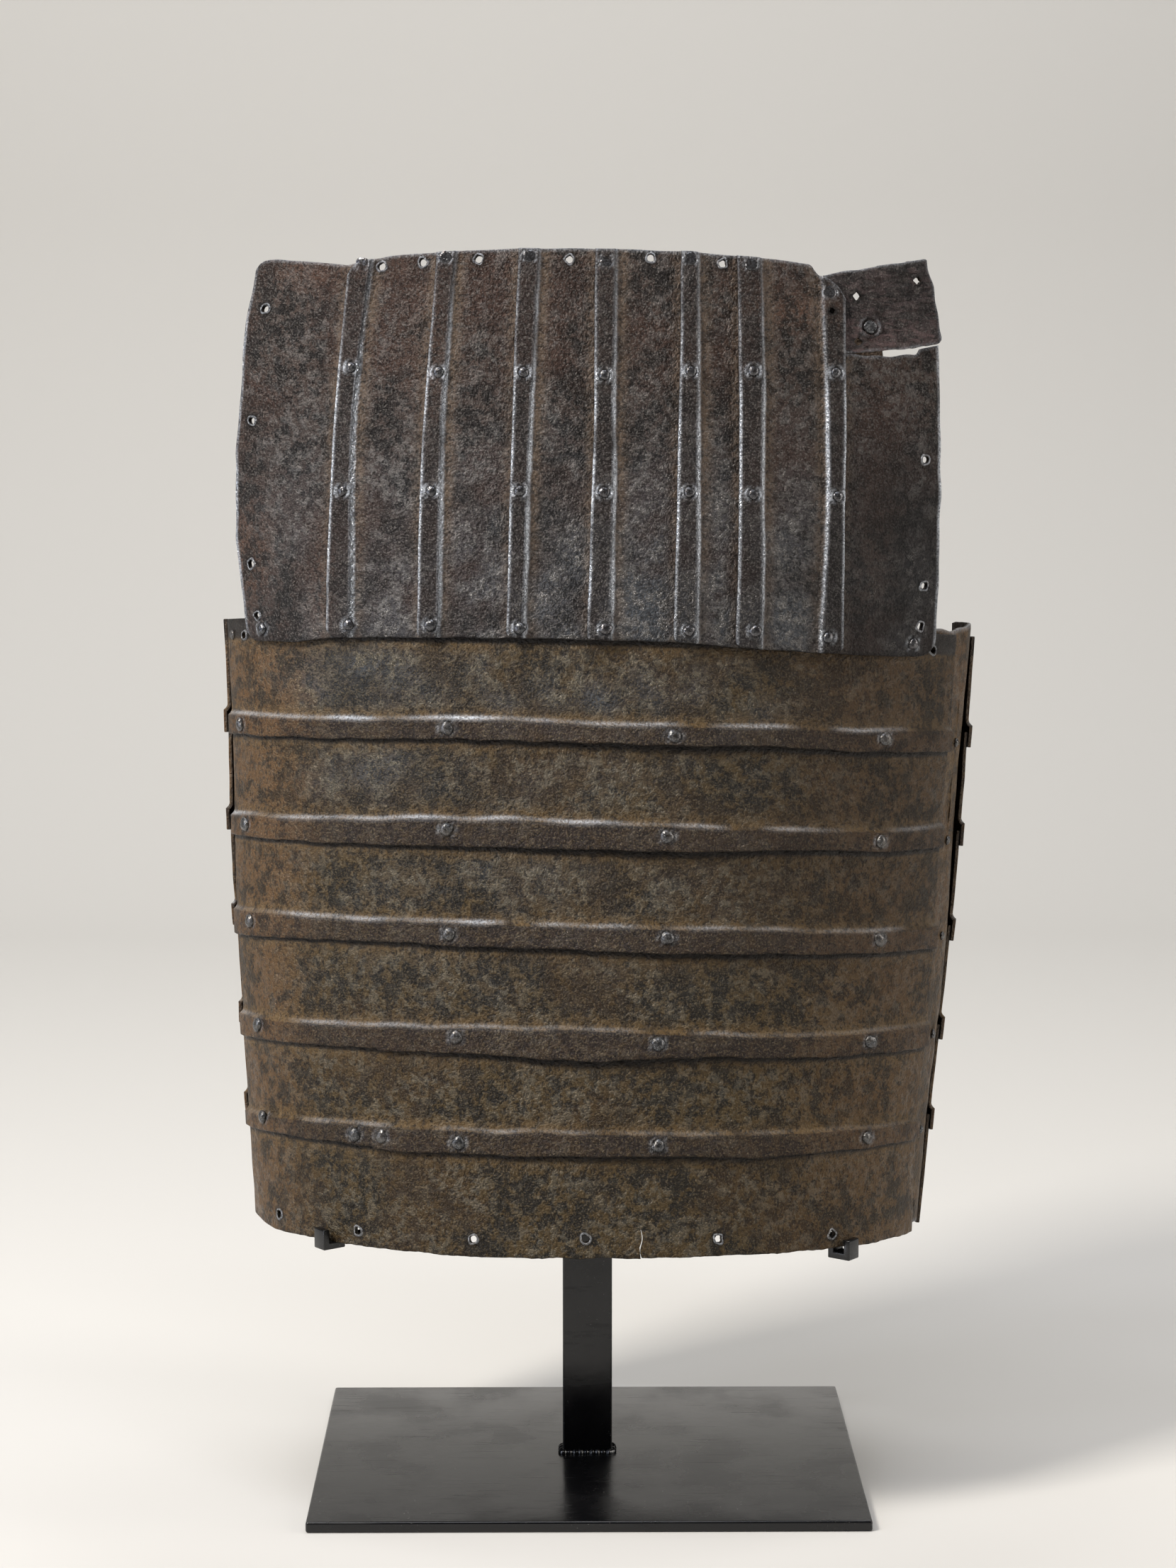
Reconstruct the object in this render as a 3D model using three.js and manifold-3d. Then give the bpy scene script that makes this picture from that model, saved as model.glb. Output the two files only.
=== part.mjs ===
// A riveted sheet-iron cuirass, hollow and open at neck, armholes and hem, hooked by its hem on a stand.
// Millimetres, +Z up. The front faces -Y. The origin is the centre of the stand's underside.
import * as THREE from 'three';
import { mergeVertices } from 'three/addons/utils/BufferGeometryUtils.js';
import Module from 'manifold-3d';

const wasm = await Module();
wasm.setup();

// Driving sizes of the cuirass
const SHEET = 1.6; // thickness of every iron sheet
const SEAM_GAP = 0.3; // clearance between two lapped sheets
const LAP_STEP = SHEET + SEAM_GAP; // how far an upper sheet is set out over a lower one
const LAP_HIDDEN = 7; // how far a lower sheet runs up behind the sheet above it
const LAP_FLAT = 8; // height of the set-out border
const LAP_SOFT = 2.5; // height of the soft step between border and panel
const WAIST_TOP = 272;
const LEAN = THREE.MathUtils.degToRad(4.8); // the top leans away from the front
const ROLL = THREE.MathUtils.degToRad(1.3); // the right side hangs lower
const HEM_CENTRE = new THREE.Vector3(-1, -15, 120.5);

// Rings through the middle of the sheet: height above the hem, half width, half depths to front and back
const WAIST_RINGS = [
  { height: 0, half: 151.6, front: 108, back: 104 },
  { height: 45, half: 155.2, front: 105.5, back: 102 },
  { height: 90, half: 159.3, front: 103.5, back: 100 },
  { height: 135, half: 162.2, front: 101, back: 98 },
  { height: 180, half: 164.7, front: 98.5, back: 96 },
  { height: 225, half: 167.3, front: 96.5, back: 94 },
  { height: 275, half: 170.2, front: 93.8, back: 92 },
];
const CHEST_RINGS = [
  { height: 255, half: 172.2, front: 97.2, back: 94.6 },
  { height: 275, half: 175, front: 96.2, back: 94.4 },
  { height: 292, half: 180, front: 95.2, back: 95 },
  { height: 318, half: 186, front: 94, back: 95 },
  { height: 345, half: 190, front: 92.5, back: 94 },
  { height: 400, half: 190, front: 90, back: 90 },
  { height: 445, half: 187, front: 87, back: 84 },
];

// Waist lames from the top: height of the lower cut edge, rise of the rivets over it, and the rivets' x
const WAIST_LAMES = [
  { cut: 220.5, rivetRise: 4.7, rivets: [-157, -65, 32, 125] },
  { cut: 175.3, rivetRise: 5.5, rivets: [-154, -64, 30, 124] },
  { cut: 131.8, rivetRise: 5.5, rivets: [-150, -62, 31, 124] },
  { cut: 86, rivetRise: 6.5, rivets: [-146, -58, 28, 121] },
  { cut: 44, rivetRise: 4.8, rivets: [-143, -101, -89, -56, 29, 121] },
  { cut: 0, rivetRise: 0, rivets: [] },
];
const FRONT_LEFT_ANGLE = -80; // degrees round the ring from the middle of the front
const FRONT_RIGHT_ANGLE = 70.5;
const FRONT_RIGHT_HEM_ANGLE = 76; // the right edge runs further round below this height
const FRONT_RIGHT_HEM_HEIGHT = 60;
const FRONT_COLUMNS = 26;
const STRIP_START = 58;
const STRIP_END = 101;
const STRIP_OUT = -(LAP_STEP + 0.35); // the strips lie inside the side borders of front and back
// The right strip bows out to the back's border: millimetres, then degrees
const STRIP_SWELL = { by: 1.6, from: 76, full: 84, hold: 88, to: 95 };
const STRIP_COLUMNS = 7;
const STRIP_LOW = 4;
const STRIP_LEVEL_TO = 250; // above this height the strip's top rises towards the back
const STRIP_TOP = { left: WAIST_TOP - 2, right: WAIST_TOP + 2 };
const STRIP_RISE = { left: 0, right: 4, from: 70, to: 90 }; // millimetres, degrees
const STRIP_RIVETS = { left: -83.5, right: 79, drop: 2 }; // degrees, and millimetres below the front's rivets
const BACK_FLARE_END = 96; // from here on the back lies against the side strip
// The back's front borders by height: where they start, in degrees, and how far they stand off
const BACK_BORDERS = {
  left: [
    { height: 0, start: 93, flare: 0.2 }, { height: 95, start: 93, flare: 0.2 },
    { height: 155, start: 90, flare: 0.9 }, { height: 275, start: 90, flare: 1 },
  ],
  right: [
    { height: 0, start: 90, flare: 1.7 }, { height: 130, start: 90, flare: 1.6 },
    { height: 165, start: 89, flare: 2.6 }, { height: 205, start: 88, flare: 3.2 },
    { height: 275, start: 89, flare: 1.8 },
  ],
};
const BACK_COLUMNS = 24;
const HEM_HOLES = [
  { x: -136, rise: 7 }, { x: -100, rise: 5.6 }, { x: -49, rise: 6.7 },
  { x: -1, rise: 8.6 }, { x: 56, rise: 8.6 }, { x: 107, rise: 7.6 },
];
const WAIST_TOP_HOLES = [{ x: 148, height: 264.8 }, { x: -158, height: 264.7 }];

// Upright bands where two chest lames lap: x of the band's left and right line at its top, middle and bottom
const BAND_HEIGHTS = [431, 330, 275];
const CHEST_BANDS = [
  { left: [-112, -118, -119], right: [-102, -109, -108] },
  { left: [-74, -79, -79], right: [-66, -70, -70] },
  { left: [-39, -40, -40], right: [-30, -33, -33] },
  { left: [-6, -5, -6], right: [3, 4, 4] },
  { left: [31, 31, 31], right: [38, 40, 41] },
  { left: [55, 58, 58], right: [65, 68, 69] },
  { left: [92, 97, 95], right: [102, 104.5, 105] },
];
// Chest rivets on each band from the left: x and height from the top row to the bottom row
const CHEST_RIVETS = [
  [[-106, 426.7], [-110, 381.7], [-112.5, 328], [-108.5, 270]],
  [[-70, 428.9], [-72, 379.5], [-74, 328.3], [-73, 270.5]],
  [[-34, 430], [-35.5, 379.9], [-36, 328.9], [-34.5, 270]],
  [[-1, 428.5], [-1, 379.3], [0, 329], [2, 270.5]],
  [[35, 430.5], [36, 381.8], [36.5, 330], [37.5, 270.5]],
  [[61, 429], [63, 383], [64, 329.8], [66, 271]],
  [[95.5, 418.5], [99, 383.7], [101, 330.2], [98, 269]],
];
// Outer edges of the chest by height
const CHEST_LEFT_EDGE = [
  { height: 255, x: -152 }, { height: 267, x: -157 }, { height: 289, x: -159.5 }, { height: 308, x: -162 },
  { height: 345, x: -162.5 }, { height: 402, x: -159 }, { height: 432, x: -154 },
];
const CHEST_RIGHT_EDGE = [
  { height: 255, x: 147 }, { height: 271, x: 149 }, { height: 330, x: 149 }, { height: 380, x: 147 },
  { height: 400, x: 146 }, { height: 425, x: 142 }, { height: 440, x: 138 },
];
// Lower and upper outline of the chest across the front
const CHEST_HEM = [
  { x: -160, height: 262 }, { x: -134, height: 262 }, { x: -112, height: 264.6 }, { x: -40, height: 265.6 },
  { x: 30, height: 265.4 }, { x: 67, height: 263.4 }, { x: 120, height: 261.3 }, { x: 150, height: 262 },
];
const CHEST_TOP = [
  { x: -160, height: 429 }, { x: -145, height: 430 }, { x: -130, height: 428.2 }, { x: -113, height: 426 },
  { x: -108, height: 427.5 }, { x: -74, height: 431.7 }, { x: -9, height: 434 }, { x: 35, height: 433.8 },
  { x: 72, height: 431.9 }, { x: 88, height: 430.2 }, { x: 90, height: 426 }, { x: 99.5, height: 421 },
  { x: 104, height: 413.5 },
];
const CORNER_ROUND = 9;
const CUT_BORDER = 4; // width of the narrow face along a cut edge
const LEFT_BORDER = 9; // width of the first lame's worked left border
const BAND_TURN = 0.4; // where a band's soft side starts, inside its line
const BAND_SOFT = 1.8; // where it has come down to the panel, outside its line
const PANEL_SHORT = 1.4; // how far a panel ends short of the next band's right line
const LAP_INSET = 1; // how far the patch and the eighth lame start inside the seventh lame's border
const LAST_BORDER_FOOT = 2; // width of the foot of the seventh lame's right border
const CHEST_HOLES = [
  { lame: 1, x: -98, height: 425.5 }, { lame: 1, x: -80, height: 427.1 }, { lame: 2, x: -56, height: 428.6 },
  { lame: 3, x: -17, height: 429.1 }, { lame: 4, x: 18, height: 430.5 }, { lame: 5, x: 49, height: 429 },
  { lame: 0, x: -150, height: 408.3 }, { lame: 0, x: -155, height: 359.1 },
  { lame: 0, x: -154.5, height: 296.2 }, { lame: 0, x: -151.5, height: 273.4 },
  { lame: 7, x: 141, height: 348.1 }, { lame: 7, x: 142, height: 292.8 }, { lame: 7, x: 141, height: 275 },
];
const CORNER_RIVETS = [{ lame: 0, x: -149, height: 267.6 }, { lame: 7, x: 138, height: 267.2 }];
const CHEST_ROWS = 9;
// The eighth lame is broken off below the patch, all but a tab at its outer edge
const STUB_TOP = [{ x: 91, height: 391 }, { x: 136, height: 393.4 }];
const STUB_TAB_X = 137;
const STUB_TAB_STEP = 1; // half the width over which the tab's side rises
const STUB_TAB_GAP = 0.6; // from the tab to the patch's lower edge

// The repair patch that takes the place of the eighth lame's missing top
const PATCH_LOW = [
  { x: 91, height: 391.9 }, { x: 104, height: 392.6 }, { x: 137, height: 397 }, { x: 146, height: 401 },
];
const PATCH_TOP = [{ x: 91, height: 425.6 }, { x: 113, height: 430.8 }, { x: 139, height: 436.2 }];
const PATCH_HOLES = [{ x: 135, height: 426.2 }, { x: 108, height: 417.6 }, { x: 109, height: 397.9 }];
const PATCH_RIVET = { x: 114, height: 404.5 };
const PATCH_RIVET_RADIUS = 4;
const PATCH_COLUMNS = 8;
const PATCH_ROWS = 3;

// The upper back, one plate cut lower at the armholes
const BACK_PLATE_LOW = 264;
const BACK_PLATE_TOP = 426;
const BACK_PLATE_DROP = 9; // its top falls by this much at the corners
const BACK_PLATE_EDGE = [
  { height: 255, x: 150 }, { height: 285, x: 146 }, { height: 330, x: 136 }, { height: 400, x: 134 },
  { height: 430, x: 130 },
];
const BACK_PLATE_COLUMNS = 16;
const BACK_PLATE_ROWS = 8;

// Rivets and holes
const RIVET_RADIUS = 2.8;
const RIVET_HEIGHT = 1.7;
const RIVET_ROOT = 0.7; // how far a rivet's head is sunk into its sheet
const RIVET_SHOULDER = { radius: 0.8, rise: 0.72 }; // as shares of its head's radius and height
const SMALL_RIVET_RADIUS = 2;
const ROUND_SIDES = 8;
const HOLE_RADIUS = 1.7;
const PUNCH_REACH = 3 * SHEET; // how far a punch goes in from the outside of the sheet

const SETTLE_PASSES = 3; // rounds in which an x and a height that depend on each other are found
const MERGE_STEP = 1e-4;

// The stand
const BASE_WIDTH = 250;
const BASE_DEPTH = 200;
const BASE_THICK = 5;
const BASE_BEVEL = 0.8;
const POST_WIDTH = 23;
const POST_THICK = 10;
const POST_TOP = 133;
const ARM_WIDTH = 8;
const ARM_THICK = 3;
const ARM_LEVEL = 128.5; // height of the middle of the arms
const FRONT_HOOK_X = 113; // where the front hooks hold the hem, either side of the middle
const HOOK_CLEAR = 1.8; // from the hook's walls to the middle of the hem's sheet
const HOOK_RISE = 6; // how far a hook's tip stands up outside the hem
const TOUCH_GAP = 0.3;
const HEM_TILT_CLEAR = 0.2; // the hem slopes by less than this over an arm's width

const IRON_CHEST = new THREE.MeshStandardMaterial({ color: 0x4a3f3a, roughness: 0.55, metalness: 0.75 });
const IRON_WAIST = new THREE.MeshStandardMaterial({ color: 0x5c4a30, roughness: 0.62, metalness: 0.65 });
const IRON_PATCH = new THREE.MeshStandardMaterial({ color: 0x35302e, roughness: 0.72, metalness: 0.6 });
const STAND_BLACK = new THREE.MeshStandardMaterial({ color: 0x0b0b0c, roughness: 0.25, metalness: 0.1 });

// A value read off a table of rows at a key, straight between rows
function readTable(rows, key, column, at) {
  if (at <= rows[0][key]) return rows[0][column];
  for (let i = 1; i < rows.length; i += 1) {
    const [low, high] = [rows[i - 1], rows[i]];
    if (at <= high[key]) {
      const share = (at - low[key]) / (high[key] - low[key]);
      return THREE.MathUtils.lerp(low[column], high[column], share);
    }
  }
  return rows[rows.length - 1][column];
}

// A band line's x at a height: the parabola through its three named heights
function bandX(line, height) {
  const [h0, h1, h2] = BAND_HEIGHTS;
  const a = ((height - h1) * (height - h2)) / ((h0 - h1) * (h0 - h2));
  const b = ((height - h0) * (height - h2)) / ((h1 - h0) * (h1 - h2));
  const c = ((height - h0) * (height - h1)) / ((h2 - h0) * (h2 - h1));
  return a * line[0] + b * line[1] + c * line[2];
}

// The ring at a height: half width and the half depth on the side that the angle faces
function ringSize(rings, height, angle) {
  const side = Math.cos(angle) >= 0 ? 'front' : 'back';
  return [readTable(rings, 'height', 'half', height), readTable(rings, 'height', side, height)];
}

// The outward direction of a ring at an angle, and its point moved out by a distance
function ringNormal(rings, height, angle) {
  const [half, depth] = ringSize(rings, height, angle);
  return new THREE.Vector3(Math.sin(angle) / half, -Math.cos(angle) / depth, 0).normalize();
}

function ringPoint(rings, height, angle, out) {
  const [half, depth] = ringSize(rings, height, angle);
  const point = new THREE.Vector3(half * Math.sin(angle), -depth * Math.cos(angle), height);
  return point.addScaledVector(ringNormal(rings, height, angle), out);
}

// The angle on the front of a ring whose point has this x
function angleAtX(rings, height, x) {
  return Math.asin(THREE.MathUtils.clamp(x / readTable(rings, 'height', 'half', height), -1, 1));
}

// A closed wall over a grid: pointAt(column, row, side) with side 1 on the outside and -1 on the inside
function wallGeometry(columns, rows, pointAt) {
  const positions = [];
  for (const side of [1, -1]) {
    for (let j = 0; j <= rows; j += 1) {
      for (let i = 0; i <= columns; i += 1) positions.push(...pointAt(i, j, side).toArray());
    }
  }
  const inner = (columns + 1) * (rows + 1);
  const at = (i, j, layer) => layer * inner + j * (columns + 1) + i;
  const index = [];
  const quad = (a, b, c, d) => index.push(a, b, c, a, c, d);
  for (let j = 0; j < rows; j += 1) {
    for (let i = 0; i < columns; i += 1) {
      quad(at(i, j, 0), at(i + 1, j, 0), at(i + 1, j + 1, 0), at(i, j + 1, 0));
      quad(at(i, j + 1, 1), at(i + 1, j + 1, 1), at(i + 1, j, 1), at(i, j, 1));
    }
  }
  for (let i = 0; i < columns; i += 1) {
    quad(at(i, 0, 1), at(i + 1, 0, 1), at(i + 1, 0, 0), at(i, 0, 0));
    quad(at(i, rows, 0), at(i + 1, rows, 0), at(i + 1, rows, 1), at(i, rows, 1));
  }
  for (let j = 0; j < rows; j += 1) {
    quad(at(0, j, 1), at(0, j, 0), at(0, j + 1, 0), at(0, j + 1, 1));
    quad(at(columns, j, 0), at(columns, j, 1), at(columns, j + 1, 1), at(columns, j + 1, 0));
  }
  const geometry = new THREE.BufferGeometry();
  geometry.setAttribute('position', new THREE.Float32BufferAttribute(positions, 3));
  geometry.setIndex(index);
  return geometry;
}

function toSolid(geometry) {
  const bare = geometry.clone();
  bare.deleteAttribute('normal');
  bare.deleteAttribute('uv');
  const merged = mergeVertices(bare, MERGE_STEP);
  return new wasm.Manifold(new wasm.Mesh({
    numProp: 3,
    vertProperties: new Float32Array(merged.getAttribute('position').array),
    triVerts: new Uint32Array(merged.getIndex().array),
  }));
}

function toGeometry(solid) {
  const mesh = solid.getMesh();
  const geometry = new THREE.BufferGeometry();
  geometry.setAttribute('position', new THREE.BufferAttribute(mesh.vertProperties, 3));
  geometry.setIndex(new THREE.BufferAttribute(mesh.triVerts, 1));
  return geometry;
}

// A rivet's domed head, or a punch for a hole, turned so that its axis follows the sheet's normal
function turned(profile, spot) {
  const points = profile.map(([radius, rise]) => new THREE.Vector2(radius, rise));
  const geometry = new THREE.LatheGeometry(points, ROUND_SIDES);
  const turn = new THREE.Quaternion().setFromUnitVectors(new THREE.Vector3(0, 1, 0), spot.normal);
  geometry.applyQuaternion(turn);
  geometry.translate(spot.point.x, spot.point.y, spot.point.z);
  return toSolid(geometry);
}

function rivetHead(spot, radius) {
  const height = (RIVET_HEIGHT * radius) / RIVET_RADIUS;
  const shoulder = [RIVET_SHOULDER.radius * radius, RIVET_SHOULDER.rise * height];
  return turned([[0, -RIVET_ROOT], [radius, -RIVET_ROOT], shoulder, [0, height]], spot);
}

function holePunch(spot) {
  return turned([[0, -PUNCH_REACH], [HOLE_RADIUS, -PUNCH_REACH], [HOLE_RADIUS, SHEET], [0, SHEET]], spot);
}

// A place on the outside of a sheet that is set out by a distance from its ring
function spotAt(rings, x, height, out) {
  const angle = angleAtX(rings, height, x);
  const point = ringPoint(rings, height, angle, out + SHEET / 2);
  return { point, normal: ringNormal(rings, height, angle) };
}

function namedMesh(name, geometry, material) {
  const mesh = new THREE.Mesh(geometry, material);
  mesh.name = name;
  return mesh;
}

function withFittings(geometry, rivets, holes) {
  let solid = toSolid(geometry);
  for (const head of rivets) solid = solid.add(head);
  for (const punch of holes) solid = solid.subtract(punch);
  return toGeometry(solid);
}

// Heights and set-outs of a waist lame's rows, from its lower cut edge to its hidden top edge
function lameRows(index) {
  const { cut } = WAIST_LAMES[index];
  const top = index === 0 ? WAIST_TOP : WAIST_LAMES[index - 1].cut + LAP_HIDDEN;
  if (index === WAIST_LAMES.length - 1) {
    return [{ height: cut, out: 0 }, { height: (cut + top) / 2, out: 0 }, { height: top, out: 0 }];
  }
  const soft = cut + LAP_FLAT + LAP_SOFT;
  return [
    { height: cut, out: LAP_STEP },
    { height: cut + LAP_FLAT, out: LAP_STEP },
    { height: soft, out: 0 },
    { height: (soft + top) / 2, out: 0 },
    { height: top, out: 0 },
  ];
}

function frontRightAngle(height) {
  const share = Math.max(0, 1 - height / FRONT_RIGHT_HEM_HEIGHT);
  return THREE.MathUtils.lerp(FRONT_RIGHT_ANGLE, FRONT_RIGHT_HEM_ANGLE, share);
}

function frontLame(index) {
  const rows = lameRows(index);
  const geometry = wallGeometry(FRONT_COLUMNS, rows.length - 1, (i, j, side) => {
    const { height, out } = rows[j];
    const degrees = THREE.MathUtils.lerp(FRONT_LEFT_ANGLE, frontRightAngle(height), i / FRONT_COLUMNS);
    return ringPoint(WAIST_RINGS, height, THREE.MathUtils.degToRad(degrees), out + (side * SHEET) / 2);
  });
  const { cut, rivetRise, rivets } = WAIST_LAMES[index];
  const heads = rivets.map((x) => rivetHead(spotAt(WAIST_RINGS, x, cut + rivetRise, LAP_STEP), RIVET_RADIUS));
  const punches = [];
  if (index === 0) {
    for (const hole of WAIST_TOP_HOLES) punches.push(holePunch(spotAt(WAIST_RINGS, hole.x, hole.height, 0)));
  }
  if (index === WAIST_LAMES.length - 1) {
    for (const hole of HEM_HOLES) punches.push(holePunch(spotAt(WAIST_RINGS, hole.x, hole.rise, 0)));
  }
  return namedMesh(`waist_lame_${index + 1}`, withFittings(geometry, heads, punches), IRON_WAIST);
}

// How far the back stands out at an angle and a height: its front borders are sprung off the side strips
function backFlare(degrees, height) {
  const border = BACK_BORDERS[degrees < 180 ? 'right' : 'left'];
  const fromSide = 180 - Math.abs(degrees - 180);
  const start = readTable(border, 'height', 'start', height);
  const share = THREE.MathUtils.clamp((BACK_FLARE_END - fromSide) / (BACK_FLARE_END - start), 0, 1);
  return readTable(border, 'height', 'flare', height) * share;
}

function backLame(index) {
  const rows = lameRows(index);
  const geometry = wallGeometry(BACK_COLUMNS, rows.length - 1, (i, j, side) => {
    const { height, out } = rows[j];
    const start = readTable(BACK_BORDERS.right, 'height', 'start', height);
    const end = 360 - readTable(BACK_BORDERS.left, 'height', 'start', height);
    const degrees = THREE.MathUtils.lerp(start, end, i / BACK_COLUMNS);
    const away = out + backFlare(degrees, height) + (side * SHEET) / 2;
    return ringPoint(WAIST_RINGS, height, THREE.MathUtils.degToRad(degrees), away);
  });
  return namedMesh(`back_lame_${index + 1}`, geometry, IRON_WAIST);
}

// How far a side strip bows out at an angle: it goes up to the back's border, and down again behind the back
function stripSwell(side, degrees) {
  if (side === 'left') return 0;
  const { by, from, full, hold, to } = STRIP_SWELL;
  const fall = THREE.MathUtils.clamp((to - degrees) / (to - hold), 0, 1);
  return by * THREE.MathUtils.smoothstep(degrees, from, full) * fall;
}

// The upright strip behind the side borders of front and back. side is 'left' or 'right'.
function sideStrip(side) {
  const hand = side === 'left' ? -1 : 1;
  const laps = WAIST_LAMES.slice(0, -1);
  const levels = [STRIP_LOW, ...laps.map(({ cut }) => cut).reverse(), STRIP_LEVEL_TO, STRIP_TOP[side]];
  const geometry = wallGeometry(STRIP_COLUMNS, levels.length - 1, (i, j, face) => {
    const share = hand > 0 ? i / STRIP_COLUMNS : 1 - i / STRIP_COLUMNS;
    const degrees = THREE.MathUtils.lerp(STRIP_START, STRIP_END, share);
    const top = j === levels.length - 1;
    const rise = STRIP_RISE[side] * THREE.MathUtils.smoothstep(degrees, STRIP_RISE.from, STRIP_RISE.to);
    const angle = THREE.MathUtils.degToRad(hand * degrees);
    const out = STRIP_OUT + stripSwell(side, degrees) + (face * SHEET) / 2;
    return ringPoint(WAIST_RINGS, levels[j] + (top ? rise : 0), angle, out);
  });
  const heads = laps.map(({ cut, rivetRise }) => {
    const angle = THREE.MathUtils.degToRad(STRIP_RIVETS[side]);
    const height = cut + rivetRise - STRIP_RIVETS.drop;
    const out = STRIP_OUT + stripSwell(side, STRIP_RIVETS[side] * hand) + SHEET / 2;
    const point = ringPoint(WAIST_RINGS, height, angle, out);
    return rivetHead({ point, normal: ringNormal(WAIST_RINGS, height, angle) }, SMALL_RIVET_RADIUS);
  });
  return namedMesh(`side_strip_${side}`, withFittings(geometry, heads, []), IRON_WAIST);
}

// Lower end of the chest at an x, with round corners where a lame's edge is free
function chestHem(x, leftCorner, rightCorner) {
  let height = readTable(CHEST_HEM, 'x', 'height', x);
  for (const [corner, hand] of [[leftCorner, 1], [rightCorner, -1]]) {
    const short = corner === null ? 0 : Math.max(0, CORNER_ROUND - (x - corner) * hand);
    height += CORNER_ROUND - Math.sqrt(CORNER_ROUND ** 2 - short ** 2);
  }
  return height;
}

function chestTop(index, x) {
  if (index === 7 && x > STUB_TAB_X) return readTable(PATCH_LOW, 'x', 'height', x) - STUB_TAB_GAP;
  if (index === 7) return readTable(STUB_TOP, 'x', 'height', x);
  return readTable(CHEST_TOP, 'x', 'height', x);
}

// Places across a chest lame at a height, as x and set-out: cut border, soft step, panel and hidden border
function chestColumns(index, height) {
  const own = CHEST_BANDS[index - 1];
  const next = CHEST_BANDS[index];
  const columns = [];
  if (index === 0) {
    const edge = readTable(CHEST_LEFT_EDGE, 'height', 'x', height);
    columns.push({ x: edge, out: 0 }, { x: edge + CUT_BORDER, out: 0 }, { x: edge + LEFT_BORDER, out: 0 });
  } else if (index === 7) {
    columns.push({ x: bandX(own.left, height) + LAP_INSET, out: 0 });
  } else {
    const left = bandX(own.left, height);
    const soft = bandX(own.right, height);
    columns.push({ x: left, out: LAP_STEP }, { x: left + CUT_BORDER, out: LAP_STEP });
    columns.push({ x: soft - BAND_TURN, out: LAP_STEP }, { x: soft + BAND_SOFT, out: 0 });
  }
  const panelStart = columns[columns.length - 1].x;
  const rest = [];
  if (index === 6) {
    const soft = bandX(next.left, height);
    const right = bandX(next.right, height);
    rest.push({ x: soft - LAST_BORDER_FOOT, out: 0 }, { x: soft + BAND_TURN, out: LAP_STEP });
    rest.push({ x: right - CUT_BORDER, out: LAP_STEP }, { x: right, out: LAP_STEP });
  } else if (index === 7) {
    const edge = readTable(CHEST_RIGHT_EDGE, 'height', 'x', height);
    rest.push({ x: STUB_TAB_X - STUB_TAB_STEP, out: 0 }, { x: STUB_TAB_X + STUB_TAB_STEP, out: 0 });
    rest.push({ x: edge - CUT_BORDER, out: 0 }, { x: edge, out: 0 });
  } else {
    rest.push({ x: bandX(next.right, height) - PANEL_SHORT, out: 0 });
  }
  const wide = rest[0].x - panelStart;
  columns.push({ x: panelStart + wide / 3, out: 0 }, { x: panelStart + (2 * wide) / 3, out: 0 });
  return columns.concat(rest);
}

// The rivets in a lame's set-out borders: the seventh lame has two borders, the first and last have none
function chestRivets(index) {
  if (index === 0 || index === 7) return [];
  return index === 6 ? [...CHEST_RIVETS[5], ...CHEST_RIVETS[6]] : CHEST_RIVETS[index - 1];
}

function chestLame(index) {
  const count = chestColumns(index, BAND_HEIGHTS[1]).length;
  const corners = [
    [0, 1].includes(index) ? 0 : null,
    [6, 7].includes(index) ? count - 1 : null,
  ];
  const pointAt = (i, j, side) => {
    let height = THREE.MathUtils.lerp(CHEST_HEM[0].height, CHEST_TOP[0].height, j / CHEST_ROWS);
    for (let pass = 0; pass < SETTLE_PASSES; pass += 1) {
      const row = chestColumns(index, height);
      const [left, right] = corners.map((column) => (column === null ? null : row[column].x));
      const low = chestHem(row[i].x, left, right);
      height = THREE.MathUtils.lerp(low, chestTop(index, row[i].x), j / CHEST_ROWS);
    }
    const { x, out } = chestColumns(index, height)[i];
    return ringPoint(CHEST_RINGS, height, angleAtX(CHEST_RINGS, height, x), out + (side * SHEET) / 2);
  };
  const geometry = wallGeometry(count - 1, CHEST_ROWS, pointAt);
  const heads = chestRivets(index)
    .map(([x, height]) => rivetHead(spotAt(CHEST_RINGS, x, height, LAP_STEP), RIVET_RADIUS));
  for (const rivet of CORNER_RIVETS.filter(({ lame }) => lame === index)) {
    heads.push(rivetHead(spotAt(CHEST_RINGS, rivet.x, rivet.height, 0), RIVET_RADIUS));
  }
  const punches = CHEST_HOLES.filter(({ lame }) => lame === index)
    .map((hole) => holePunch(spotAt(CHEST_RINGS, hole.x, hole.height, 0)));
  return namedMesh(`chest_lame_${index + 1}`, withFittings(geometry, heads, punches), IRON_CHEST);
}

function repairPatch() {
  const geometry = wallGeometry(PATCH_COLUMNS, PATCH_ROWS, (i, j, side) => {
    let height = THREE.MathUtils.lerp(PATCH_LOW[0].height, PATCH_TOP[0].height, j / PATCH_ROWS);
    let x = 0;
    for (let pass = 0; pass < SETTLE_PASSES; pass += 1) {
      const left = bandX(CHEST_BANDS[6].left, height) + LAP_INSET;
      const right = readTable(CHEST_RIGHT_EDGE, 'height', 'x', height);
      x = THREE.MathUtils.lerp(left, right, i / PATCH_COLUMNS);
      const low = readTable(PATCH_LOW, 'x', 'height', x);
      height = THREE.MathUtils.lerp(low, readTable(PATCH_TOP, 'x', 'height', x), j / PATCH_ROWS);
    }
    return ringPoint(CHEST_RINGS, height, angleAtX(CHEST_RINGS, height, x), (side * SHEET) / 2);
  });
  const heads = [rivetHead(spotAt(CHEST_RINGS, PATCH_RIVET.x, PATCH_RIVET.height, 0), PATCH_RIVET_RADIUS)];
  const punches = PATCH_HOLES.map((hole) => holePunch(spotAt(CHEST_RINGS, hole.x, hole.height, 0)));
  return namedMesh('repair_patch', withFittings(geometry, heads, punches), IRON_PATCH);
}

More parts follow.
